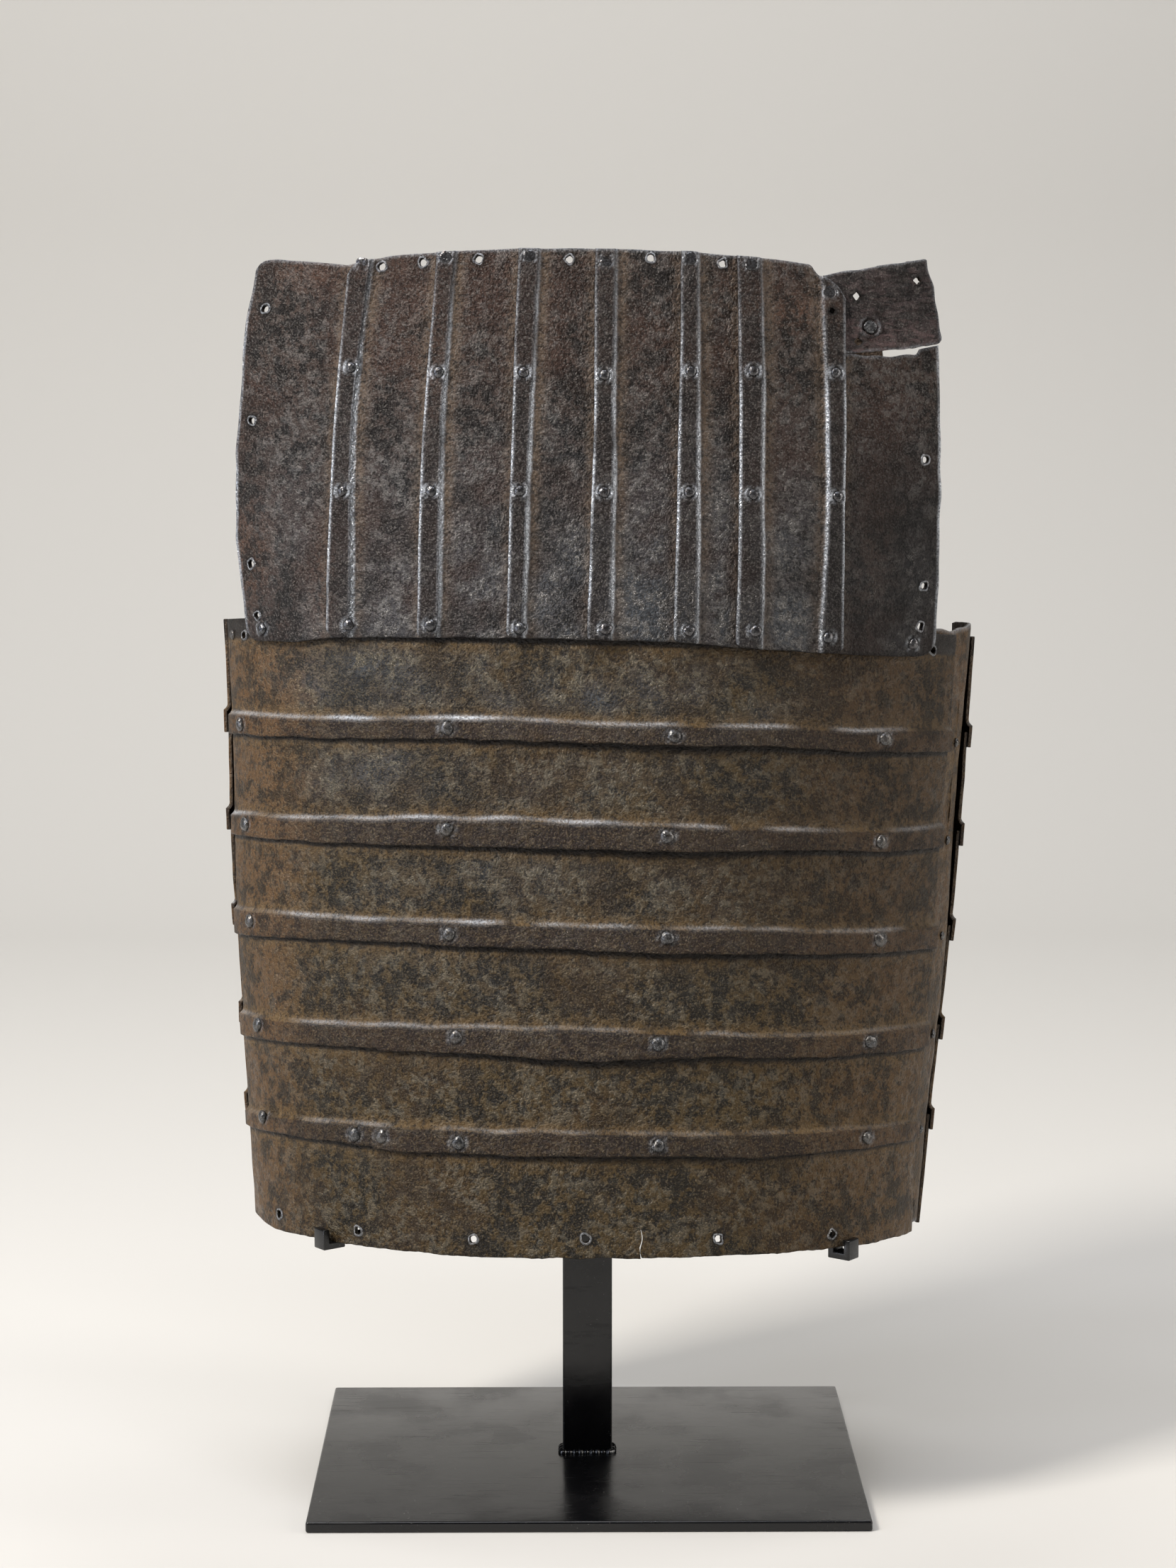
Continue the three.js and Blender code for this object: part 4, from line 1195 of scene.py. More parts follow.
def bent(share: np.ndarray) -> np.ndarray:
    """How far a bent border still stands out past its bend: 1 less a share, raised to 1.8."""
    return (1.0 - np.clip(share, 0.0, 1.0)) ** 1.8


def corner(inside: np.ndarray, radius: float) -> np.ndarray:
    """How far a rounded corner takes an edge in: r less the root of r squared less the square of the gap."""
    short = np.clip(radius - inside, 0.0, radius)
    return radius - np.sqrt(radius**2 - short**2)


def spots_at(form: Form, places: Pairs, out: float) -> list[Spot]:
    """Spots on the front of a form, from x and height, on a sheet that is set out by a distance."""
    return [form.spot(float(form.angle_at(x, height)), height, out) for x, height in places]


@dataclass
class ChestFront:
    """The eight upright lames of the chest, with four rivets down each lap."""

    rivets: tuple[Pairs, ...] = (
        ((-106, 426.7), (-110, 381.7), (-112.5, 328), (-108.5, 270)),
        ((-70, 428.9), (-72, 379.5), (-74, 328.3), (-73, 270.5)),
        ((-34, 430), (-35.5, 379.9), (-36, 328.9), (-34.5, 270)),
        ((-1, 428.5), (-1, 379.3), (0, 329), (2, 270.5)),
        ((35, 430.5), (36, 381.8), (36.5, 330), (37.5, 270.5)),
        ((61, 429), (63, 383), (64, 329.8), (66, 271)),
        ((95.5, 418.5), (99, 383.7), (101, 330.2), (98, 269)),
    )
    holes: tuple[tuple[int, float, float], ...] = (
        (2, -98, 425.5), (2, -80, 427.1), (3, -56, 428.6), (4, -17, 429.1), (5, 18, 430.5), (6, 49, 429),
        (1, -150, 408.3), (1, -155, 359.1), (1, -154.5, 296.2), (1, -151.5, 273.4),
        (8, 141, 348.1), (8, 142, 292.8), (8, 141, 275),
    )
    border_hole: tuple[float, float] = (96.5, 410.5)
    border_hole_radius: float = 1.9
    corner_rivets: tuple[tuple[int, float, float], ...] = ((1, -149, 267.6), (8, 138, 267.2))
    heads: tuple[Head, ...] = (Head.FLUSH, Head.DRIVEN, Head.DRIVEN, Head.PROUD)

    def pieces(self) -> dict[str, Shell]:
        """Makes each lame with its rivets and holes.

        Returns:
            The lames, by the name of the node that each stands for.
        """
        made = {}
        for number in range(1, 9):
            sheet, seed = UprightLame(number).sheet(), 500 + 20 * number
            bands = {1: (), 8: (), 7: (5, 6)}.get(number, (number - 2,))
            parts = []
            for row, head in enumerate(self.heads):
                places = [self.rivets[band][row] for band in bands]
                parts.append(self.riveted(sheet, places, LAP_STEP, head, seed + row))
            corners = [(x, height) for lame, x, height in self.corner_rivets if lame == number]
            parts.append(self.riveted(sheet, corners, 0.0, Head.PROUD, seed + 7))
            holes = [(x, height) for lame, x, height in self.holes if lame == number]
            spots = spots_at(CHEST_FORM, holes, 0.0)
            for spot in spots:
                sheet.punch(spot, HOLE_RADIUS)
            if number == 7:
                diamond = spots_at(CHEST_FORM, [self.border_hole], LAP_STEP)[0]
                sheet.punch(diamond, self.border_hole_radius, diamond=True)
            parts.append(turned(spots, BURR, seed + 9, 0.1))
            made[f"chest_lame_{number}"] = sheet.shell().joined(*parts)
        return made

    @staticmethod
    def riveted(sheet: Sheet, places: Pairs, out: float, head: Head, seed: int) -> Shell:
        """Sets rivets in a lame, which raises the iron round them.

        Args:
            sheet: The lame.
            places: Where the rivets stand, as x and height.
            out: How far the lame is set out there.
            head: The kind of head.
            seed: Fixes the outlines of the heads.

        Returns:
            The heads.
        """
        spots = spots_at(CHEST_FORM, places, out)
        for spot in spots:
            sheet.collar(spot, CHEST_COLLARS[head])
        return turned(spots, head.value, seed)


@dataclass(frozen=True)
class RepairPatch:
    """The rough plate at the top right, by another hand, with one broad rivet and diamond-shaped holes."""

    low_edge: Pairs = (
        (91, 391.9), (104, 392.6), (120, 394.4), (137, 397), (146, 399.4))
    top_edge: Pairs = ((91, 425.6), (100, 427.4), (113, 430.8), (139, 436.2))
    right_edge: Pairs = ((380, 147), (400, 146.4), (425, 142.6), (440, 138))
    holes: Pairs = ((135, 426.2), (108, 417.6), (109, 397.9))
    rivet: tuple[float, float] = (114, 404.5)
    hole_radius: float = 2.1
    hole_out: float = 0.6
    rivet_out: float = 0.75
    corner_radius: float = 2.6
    top_corner_radius: float = 1.0
    hidden_inset: float = 1.0
    out: float = 0.35
    bare_from: float = 105.5

    def pieces(self) -> dict[str, Shell]:
        """Makes the patch. It lies on the chest past the seventh lame's edge and lifts toward its free end.

        Returns:
            The patch, by its node's name.
        """
        columns, rows = stations(edge_cells(78)), stations(edge_cells(52))
        height = np.linspace(392.0, 431.0, len(rows.stretch))[:, None] + np.zeros((1, len(columns.stretch)))
        for _ in range(PASSES):
            start = CHEST_BANDS[6][0].x(height) + self.hidden_inset
            end = straight_read(height, self.right_edge) + 0.4 * ripple(601, height, 0.0, 14.0)
            x = lines_between([key.T for key in edged(start, end)], columns).T
            straight = straight_read(x, self.low_edge) + 0.3 * ripple(602, x, 0.0, 11.0)
            low = straight + corner(x[:, -1:] - x, self.corner_radius)
            high = straight_read(x, self.top_edge) + 0.3 * ripple(603, x, 0.0, 16.0)
            high = high - corner(x[:, -1:] - x, self.top_corner_radius)
            height = lines_between(edged(low, high), rows)
        angle = CHEST_FORM.angle_at(x, height)
        rough = 0.3 * ripple(604, x, 1.7 * height, 9.0) + 0.16 * ripple(605, x, 2.4 * height, 4.2)
        lift = 0.5 * ease((height - 392.0) / 6.0) + 0.9 * hill(height - straight, 9.0)
        beside = np.minimum(inset(x), np.minimum(height - low, high - height))
        out = self.out + ease((x - 106.0) / 14.0) * lift
        out = np.where(x > self.bare_from, out + rough * ease(beside / 2.5), np.minimum(out, 0.0))
        scale = ease((412.0 - height) / 14.0)
        marks = {
            "band": 0.0 * x,
            "halo": 0.25 + 0.6 * scale,
            # Painted highlight along the cut edges
            "wear": 0.35 * hill(beside, 0.8),
            "grime": 0.25 * (1.0 - scale),
            "rust": 0.35 * scale,
            "cool": 0.35 * (1.0 - scale),
        }
        sheet = Sheet(CHEST_FORM.outside(angle, height, out), edge_fall(beside), marks)
        spots = spots_at(CHEST_FORM, [self.rivet], self.rivet_out)
        sheet.collar(spots[0], PATCH_COLLAR)
        for spot in spots_at(CHEST_FORM, self.holes, self.hole_out):
            sheet.punch(spot, self.hole_radius, diamond=True)
        return {"repair_patch": sheet.shell().joined(turned(spots, Head.BROAD.value, 610, 0.05))}


@dataclass(frozen=True)
class SideStrips:
    """The upright strips behind the side borders of front and back, with small rivets down each."""

    start: float = 58.0
    end: float = 101.0
    out: float = -(LAP_STEP + 0.35)
    low: float = 4.0
    high_left: float = 270.0
    high_right: float = 274.0
    rise_right: float = 4.0
    swell: float = 1.6
    degree: float = 1.6
    rivets: tuple[tuple[str, float], ...] = (("left", -83.5), ("right", 79.0))
    rivet_heights: tuple[float, ...] = (223.2, 178.8, 135.3, 90.5, 46.8)

    def pieces(self) -> dict[str, Shell]:
        """Both strips, by their nodes' names."""
        return {f"side_strip_{side}": self.strip(side, turn) for side, turn in self.rivets}

    def bow(self, turn: np.ndarray) -> np.ndarray:
        """How far the right strip bows out to the back's border, and how it goes in again behind the back."""
        return self.swell * ease((turn - 76.0) / 8.0) * np.clip((95.0 - turn) / 7.0, 0.0, 1.0)

    def strip(self, side: str, rivet_turn: float) -> Shell:
        """One strip with its rivets.

        Args:
            side: Which strip it is, left or right.
            rivet_turn: Where its rivets stand round the ring, in degrees.

        Returns:
            The finished strip.
        """
        hand = -1.0 if side == "left" else 1.0
        columns, rows = stations(edge_cells(44)), stations(edge_cells(150))
        first, last = (self.start, self.end) if hand > 0 else (-self.end, -self.start)
        ones = np.ones(len(columns.stretch))
        degrees = lines_between(edged(ones * first, ones * last, unit=self.degree), columns)
        climb = self.rise_right * ease((degrees - 70.0) / 20.0) + 0.35 * ripple(620, 2.0 * degrees, 0.0, 17.0)
        top = climb + (self.high_right if hand > 0 else self.high_left)
        low = self.low + 0.4 * ripple(621, 2.0 * degrees, 0.0, 23.0)
        height = grid_heights(edged(low, top), rows, columns)
        wander = 0.35 * ripple(622, height, 0.0, 31.0) + 0.15 * ripple(623, height, 0.0, 8.0)
        ends = np.minimum(degrees - degrees[0], degrees[-1] - degrees)
        angle = np.radians(degrees + wander * np.where(degrees < (first + last) / 2, 1.0, -1.0))
        beside = np.minimum(ends * self.degree, np.minimum(height - low, top - height))
        bow = self.bow(degrees)
        rough = 0.12 * ripple(624, 2.0 * degrees, height, 12.0)
        worn = np.clip(0.4 + 0.5 * ripple(625, degrees, height, 40.0), 0.0, 1.0)
        marks = {
            "band": 0.0 * height,
            "halo": 0.8 * worn,
            # Painted highlight along the cut edges
            "wear": 0.4 * hill(beside, 0.8),
            "grime": 0.15 + 0.0 * height,
            "rust": 0.75 + 0.0 * height,
            "cool": 0.0 * height,
        }
        out = self.out + bow + rough * np.clip(beside, 0.0, 1.0)
        sheet = Sheet(WAIST_FORM.outside(angle, height, out), edge_fall(beside), marks)
        bowed = self.out + float(self.bow(np.array(rivet_turn)))
        spots = [WAIST_FORM.spot(math.radians(rivet_turn), h, bowed) for h in self.rivet_heights]
        return sheet.shell().joined(turned(spots, Head.SMALL.value, 630 + int(hand), 0.08))


@dataclass
class Back:
    """The back: six level lames whose front borders stand off the side strips, and one plate above."""

    start: tuple[SideRow, ...] = (
        SideRow(0, 90, 1.7), SideRow(130, 90, 1.6), SideRow(165, 89, 2.6), SideRow(205, 88, 3.2),
        SideRow(275, 89, 1.8))
    end: tuple[SideRow, ...] = (
        SideRow(0, 267, 0.2), SideRow(95, 267, 0.2), SideRow(155, 270, 0.9), SideRow(275, 270, 1.0))
    rivet_turns: tuple[float, ...] = (112.0, 146.0, 180.0, 214.0, 248.0)
    plate_low: float = 264.0
    plate_top: float = 426.0
    plate_drop: float = 9.0
    plate_edge: Pairs = ((255, 150), (285, 146), (330, 136), (400, 134), (430, 130))
    plate_half: float = 145.0
    plate_rivets: tuple[float, ...] = (-120.0, -60.0, 0.0, 60.0, 120.0)
    plate_rivet_level: float = 269.0
    plate_rust: Area = Area(60.0, 300.0, 60.0, 40.0, 0.3)
    border: float = 10.5
    rivet_rise: float = 5.0

    def pieces(self) -> dict[str, Shell]:
        """Makes the lames, whose seams are level and lie at the heights of those in front, and the plate.

        Returns:
            Lames and plate, by their nodes' names.
        """
        made, above = {}, None
        for number, front in enumerate(WAIST_SEAMS):
            level = front.level()
            ends = [(x, level, level + self.border, 0.0) for x in (-170.0, 170.0)]
            below = seam(700 + 10 * number, *ends, lapped=front.lapped)
            sheet = LevelLame(below, above, self.start, self.end, 150, 16).sheet()
            turns = self.rivet_turns if front.lapped else ()
            spots = [WAIST_FORM.spot(math.radians(t), level + self.rivet_rise, LAP_STEP) for t in turns]
            heads = self.riveted(sheet, spots, 760 + number)
            made[f"back_lame_{number + 1}"] = sheet.shell().joined(heads)
            above = below
        made["upper_back_plate"] = self.plate()
        return made

    @staticmethod
    def riveted(sheet: Sheet, spots: Sequence[Spot], seed: int) -> Shell:
        """Sets rivets in a sheet of the back.

        Args:
            sheet: The sheet.
            spots: Where the rivets stand.
            seed: Fixes the outlines of the heads.

        Returns:
            The heads.
        """
        for spot in spots:
            sheet.collar(spot, BACK_COLLAR)
        return turned(spots, Head.PROUD.value, seed)

    def plate(self) -> Shell:
        """Makes the upper plate, with its top corners lowered by the fourth power of the way across.

        Returns:
            The plate with its rivets.
        """
        columns, rows = stations(edge_cells(118)), stations(edge_cells(66))
        ones = np.ones(len(columns.stretch))
        share = lines_between(edged(ones, -ones, unit=-self.plate_half), columns)
        top = self.plate_top - self.plate_drop * share**4 + 0.25 * ripple(751, 140.0 * share, 0.0, 33.0)
        low = self.plate_low + 0.2 * ripple(752, 140.0 * share, 0.0, 27.0)
        height = grid_heights(edged(low, top), rows, columns)
        x = share * straight_read(height, self.plate_edge)
        angle = math.pi - CHEST_FORM.angle_at(x, height)
        across = (1.0 - np.abs(share)) * self.plate_half
        beside = np.minimum(across, np.minimum(height - low, top - height))
        marks = {
            "band": 0.0 * height,
            "halo": 0.5 * hill(height - low, 4.0),
            # Painted highlight along the cut edges
            "wear": 0.3 * hill(beside, 0.9),
            "grime": 0.1 + 0.0 * height,
            "rust": self.plate_rust.at(x, height),
            "cool": 0.6 * ease((400.0 - height) / 120.0),
        }
        sheet = Sheet(CHEST_FORM.outside(angle, height, 0.0), edge_fall(beside), marks)
        level = self.plate_rivet_level
        turns = [math.pi - float(CHEST_FORM.angle_at(place, level)) for place in self.plate_rivets]
        spots = [CHEST_FORM.spot(turn, level, 0.0) for turn in turns]
        heads = self.riveted(sheet, spots, 771)
        return sheet.shell().joined(heads)


PLACING = Placing()


def add_mesh(name: str, shell: Shell, material: bpy.types.Material, sharp: float = 42.0) -> bpy.types.Object:
    """Makes an object of a shell, smooth but for edges that turn by more than an angle.

    Args:
        name: The object's name.
        shell: Points in metres, faces and marks.
        material: Its finish.
        sharp: The angle in degrees.

    Returns:
        The object, at the origin.
    """
    mesh = bpy.data.meshes.new(name)
    counts = np.concatenate([np.full(len(shell.quads), 4), np.full(len(shell.triangles), 3)])
    corners = np.concatenate([shell.quads.ravel(), shell.triangles.ravel()]).astype(np.int32)
    mesh.vertices.add(len(shell.points))
    mesh.vertices.foreach_set("co", shell.points.astype(np.float32).ravel())
    mesh.loops.add(len(corners))
    mesh.loops.foreach_set("vertex_index", corners)
    mesh.polygons.add(len(counts))
    mesh.polygons.foreach_set("loop_start", (np.cumsum(counts) - counts).astype(np.int32))
    mesh.polygons.foreach_set("loop_total", counts.astype(np.int32))
    for mark, values in shell.marks.items():
        mesh.attributes.new(mark, "FLOAT", "POINT").data.foreach_set("value", values.astype(np.float32))
    mesh.update(calc_edges=True)
    mesh.validate()
    mesh.polygons.foreach_set("use_smooth", np.ones(len(counts), bool))
    mesh.set_sharp_from_angle(angle=math.radians(sharp))
    mesh.materials.append(material)
    made = bpy.data.objects.new(name, mesh)
    bpy.context.scene.collection.objects.link(made)
    return made


def dress(name: str, shell: Shell, material: bpy.types.Material, slot: str, *nodes: str) -> bpy.types.Object:
    """Makes a piece that rides on the part, with the finish given, and hides the nodes that it stands for.

    Args:
        name: The piece's name.
        shell: Its mesh in the making, in metres.
        material: Its finish.
        slot: Not used.
        nodes: The CAD nodes that it replaces.

    Returns:
        The piece.
    """
    made = add_mesh(name, shell, material)
    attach(made, "root")
    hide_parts(*nodes)
    log.info("%s: %d faces, finish %s", name, len(made.data.polygons), material.name)
    return made


def linear(text: str) -> tuple[float, float, float, float]:
    """An sRGB hex colour as linear red, green, blue and full alpha."""
    channels = [int(text[i:i + 2], 16) / 255.0 for i in (1, 3, 5)]
    return tuple(c / 12.92 if c <= 0.04045 else ((c + 0.055) / 1.055) ** 2.4 for c in channels) + (1.0,)


Value = bpy.types.NodeSocket | float | tuple[float, ...] | str


@dataclass
class Graph:
    """A material's node tree, with a few words for the sums that the finishes share."""

    name: str

    def __post_init__(self) -> None:
        """Makes the material with its shader, and takes the object's own coordinates."""
        self.material = bpy.data.materials.new(self.name)
        self.material.use_nodes = True
        self.tree = self.material.node_tree
        self.shader = self.tree.nodes["Principled BSDF"]
        self.place = self.add("ShaderNodeTexCoord", {}).outputs["Object"]

    def add(self, kind: str, inputs: dict[str | int, Value], **settings: object) -> bpy.types.Node:
        """Adds a node.

        Args:
            kind: The node's type.
            inputs: What goes into its sockets, by name or number: a socket to link, a value, or a hex colour.
            settings: The node's own settings.

        Returns:
            The node.
        """
        node = self.tree.nodes.new(kind)
        for setting, value in settings.items():
            setattr(node, setting, value)
        self.feed(node, inputs)
        return node

    def feed(self, node: bpy.types.Node, inputs: dict[str | int, Value]) -> None:
        """Links sockets into a node and sets its constants.

        Args:
            node: The node.
            inputs: What goes into its sockets, by name or number: a socket to link, a value, or a hex colour.
        """
        for key, value in inputs.items():
            if isinstance(value, bpy.types.NodeSocket):
                self.tree.links.new(value, node.inputs[key])
            else:
                node.inputs[key].default_value = linear(value) if isinstance(value, str) else value

    def noise(self, size: float, detail: float, rough: float = 0.55, stretch: Value | None = None) -> Value:
        """Adds a noise.

        Args:
            size: About how wide its features are, in millimetres.
            detail: How many finer layers it has.
            rough: How strong the finer layers are.
            stretch: The coordinates to read it at, or none for the object's own.

        Returns:
            The noise, from 0 to 1.
        """
        vector = stretch if stretch is not None else self.place
        inputs = {"Vector": vector, "Scale": 1.0 / (size * MM), "Detail": detail, "Roughness": rough}
        return self.add("ShaderNodeTexNoise", inputs).outputs["Fac"]

    def stretched(self, scale: tuple[float, float, float]) -> Value:
        """The object's coordinates, scaled along each axis."""
        return self.add("ShaderNodeMapping", {"Vector": self.place, "Scale": scale}).outputs["Vector"]

    def mark(self, name: str) -> Value:
        """A mark that the mesh carries."""
        return self.add("ShaderNodeAttribute", {}, attribute_name=name).outputs["Fac"]

    def between(
        self, value: Value, low: float, high: float, to_low: float = 0.0, to_high: float = 1.0
    ) -> Value:
        """A value's place between two others as a smooth step, brought to a range."""
        inputs = {"Value": value, 1: low, 2: high, 3: to_low, 4: to_high}
        return self.add("ShaderNodeMapRange", inputs, interpolation_type="SMOOTHSTEP").outputs[0]

    def sum(self, kind: str, a: Value, b: Value, c: Value = 0.0) -> Value:
        """A sum of two or three values: ADD, MULTIPLY, SUBTRACT or MULTIPLY_ADD."""
        return self.add("ShaderNodeMath", {0: a, 1: b, 2: c}, operation=kind).outputs[0]

    def mix(self, share: Value, a: Value, b: Value) -> Value:
        """A colour between two colours."""
        return self.add("ShaderNodeMix", {0: share, 6: a, 7: b}, data_type="RGBA").outputs[2]


@dataclass(frozen=True)
class IronFinish:
    """Old forged iron: brown oxide over blue-grey metal, ochre beside seams, bare metal with painted
    highlights on ridges and edges, and painted shade under laps and round rivet heads.
    """

    name: str
    dark: str
    middle: str
    red: str
    cool: str
    fleck: str
    band: str
    halo: str
    rust: str
    bright: str = "#c3c8cf"
    glint: str = "#8d8983"
    grime: str = "#0f0c0b"
    inside: str = "#33281e"
    fleck_share: float = 0.5
    red_share: float = 0.6
    scale_share: float = 0.0
    roughness: float = 0.5
    metal: float = 0.7
    grain: float = 0.45

    def build(self) -> bpy.types.Material:
        """Builds the material. Each colour lies over the last, where a noise and a mark let it show.

        Returns:
            The material.
        """
        g = Graph(self.name)
        clouds, patches, mottle = g.noise(58.0, 3.0), g.noise(24.0, 5.0, 0.65), g.noise(6.0, 6.0, 0.68)
        clumps, grain, grit = g.noise(4.2, 5.0, 0.62), g.noise(1.5, 3.0, 0.6), g.noise(0.85, 2.0, 0.6)
        uneven = g.sum("MULTIPLY_ADD", mottle, 0.65, g.sum("MULTIPLY", patches, 0.35))
        colour = g.mix(g.between(uneven, 0.46, 0.55), self.dark, self.middle)
        colour = g.mix(g.sum("MULTIPLY", g.between(clouds, 0.46, 0.6), self.red_share), colour, self.red)
        cool = g.sum("MULTIPLY", g.mark("cool"), g.between(patches, 0.38, 0.6, 0.25, 1.0))
        colour = g.mix(cool, colour, self.cool)
        spread = g.sum("MULTIPLY", g.between(clumps, 0.48, 0.57), g.between(patches, 0.42, 0.56, 0.2, 1.0))
        spread = g.sum("MULTIPLY", spread, g.sum("MULTIPLY_ADD", cool, 0.5, self.fleck_share))
        colour = g.mix(spread, colour, self.fleck)
        colour = g.mix(g.sum("MULTIPLY", g.mark("band"), 0.62), colour, self.band)
        broken = g.between(g.sum("ADD", patches, mottle), 0.85, 1.1, 0.2, 1.0)
        rust = g.sum("MULTIPLY", g.mark("rust"), broken)
        colour = g.mix(rust, colour, self.rust)
        halo = g.sum("MULTIPLY", g.mark("halo"), g.between(mottle, 0.4, 0.58, 0.3, 0.9))
        colour = g.mix(halo, colour, self.halo)
        colour = g.mix(g.between(grain, 0.38, 0.5, 0.55, 0.0), colour, self.grime)
        glints = g.between(grit, 0.52, 0.64)
        colour = g.mix(g.sum("MULTIPLY", glints, 0.28), colour, self.glint)
        # Painted shade from the mark, with rivet heads half darkened
        on_heads = g.sum("MULTIPLY", g.mark("head"), 0.5)
        grime = g.sum("MAXIMUM", g.sum("MULTIPLY", g.mark("grime"), 0.94), on_heads)
        colour = g.mix(grime, colour, self.grime)
        # Painted highlight, partly bare worn metal, from the mark
        wear = g.sum("MULTIPLY", g.mark("wear"), g.between(grit, 0.36, 0.54, 0.35, 1.0))
        colour = g.mix(wear, colour, self.bright)
        colour = g.mix(g.mark("inside"), colour, self.inside)
        metal = g.sum("MULTIPLY_ADD", g.sum("ADD", halo, rust), -0.35, self.metal)
        metal = g.sum("ADD", metal, g.sum("MULTIPLY", wear, 0.3))
        rough = g.sum("MULTIPLY_ADD", g.sum("SUBTRACT", mottle, spread), 0.28, self.roughness - 0.14)
        rough = g.sum("ADD", rough, g.sum("MULTIPLY", g.sum("ADD", halo, glints), 0.1))
        rough = g.sum("ADD", rough, g.sum("MULTIPLY", g.sum("ADD", wear, g.mark("head")), -0.2))
        height = g.sum("MULTIPLY_ADD", grain, 2.6 * self.grain, g.sum("MULTIPLY", grit, self.grain))
        height = g.sum("MULTIPLY_ADD", clumps, 1.6 * self.grain, height)
        height = g.sum("MULTIPLY", height, g.sum("MULTIPLY_ADD", g.mark("head"), -0.75, 1.0))
        if self.scale_share:
            layers = g.noise(4.0, 5.0, 0.65, g.stretched((0.4, 1.0, 1.5)))
            height = g.sum("MULTIPLY_ADD", g.between(layers, 0.44, 0.56), self.scale_share, height)
            colour = g.mix(g.sum("MULTIPLY", g.between(layers, 0.5, 0.58), g.mark("halo")), colour, self.halo)
        bump = g.add("ShaderNodeBump", {"Height": height, "Distance": MM, "Strength": 1.0})
        g.feed(g.shader, {
            "Base Color": colour, "Metallic": metal, "Roughness": rough, "Normal": bump.outputs["Normal"],
        })
        return g.material


# Reddish brown oxide that lets blue-grey metal through, with a satin shine
CHEST_IRON = IronFinish(
    "forged_iron_oxide_brown", dark="#161210", middle="#3a302b", red="#3c2a22", cool="#3e4145",
    fleck="#646260", band="#1e1918", halo="#57483a", rust="#4a2f1c", glint="#85807b", fleck_share=0.34,
    roughness=0.44, metal=0.72,
)
# Olive and ochre patina broken into grey clumps, duller than the chest
WAIST_IRON = IronFinish(
    "forged_iron_ochre_patina", dark="#18130b", middle="#45371f", red="#3b2a15", cool="#3d4248",
    fleck="#5b564b", band="#281c18", halo="#5c4622", rust="#5e4120", fleck_share=0.55, red_share=0.5,
    roughness=0.48, metal=0.58, glint="#83745a", grain=0.5,
)
# Dark hammer scale with pinkish layers, the roughest of the three
PATCH_IRON = IronFinish(
    "forged_iron_hammer_scale", dark="#131110", middle="#221e1d", red="#261d1b", cool="#292a2d",
    fleck="#4c4745", band="#1d1918", halo="#524140", rust="#33231f", roughness=0.5, metal=0.6, grain=0.6,
    scale_share=0.8,
)


@dataclass(frozen=True)
class GlossPaint:
    """Gloss black paint on steel: deep and mirror-like, with a little dust and fine scratches from rubbing.
    """

    name: str = "steel_gloss_black_paint"
    colour: str = "#08080a"
    dust: str = "#8b8b86"
    roughness: float = 0.16

    def build(self) -> bpy.types.Material:
        """Builds the material: dust shows where two noises are both high, and scratches dull the shine.

        Returns:
            The material.
        """
        g = Graph(self.name)
        dusty = g.between(g.noise(30.0, 3.0), 0.45, 0.65)
        specks = g.sum("MULTIPLY", g.between(g.noise(0.8, 2.0), 0.66, 0.74), dusty)
        scratches = g.between(g.noise(1.4, 3.0, 0.6, g.stretched((0.04, 1.0, 0.3))), 0.6, 0.68)
        rough = g.sum("MULTIPLY_ADD", g.between(g.noise(40.0, 4.0), 0.35, 0.7), 0.16, self.roughness)
        rough = g.sum("MULTIPLY_ADD", scratches, 0.12, rough)
        bump = g.add("ShaderNodeBump", {"Height": g.noise(6.0, 2.0), "Distance": 0.04 * MM, "Strength": 1.0})
        g.feed(g.shader, {
            "Base Color": g.mix(g.sum("MULTIPLY", specks, 0.6), self.colour, self.dust), "Roughness": rough,
            "Normal": bump.outputs["Normal"],
        })
        return g.material


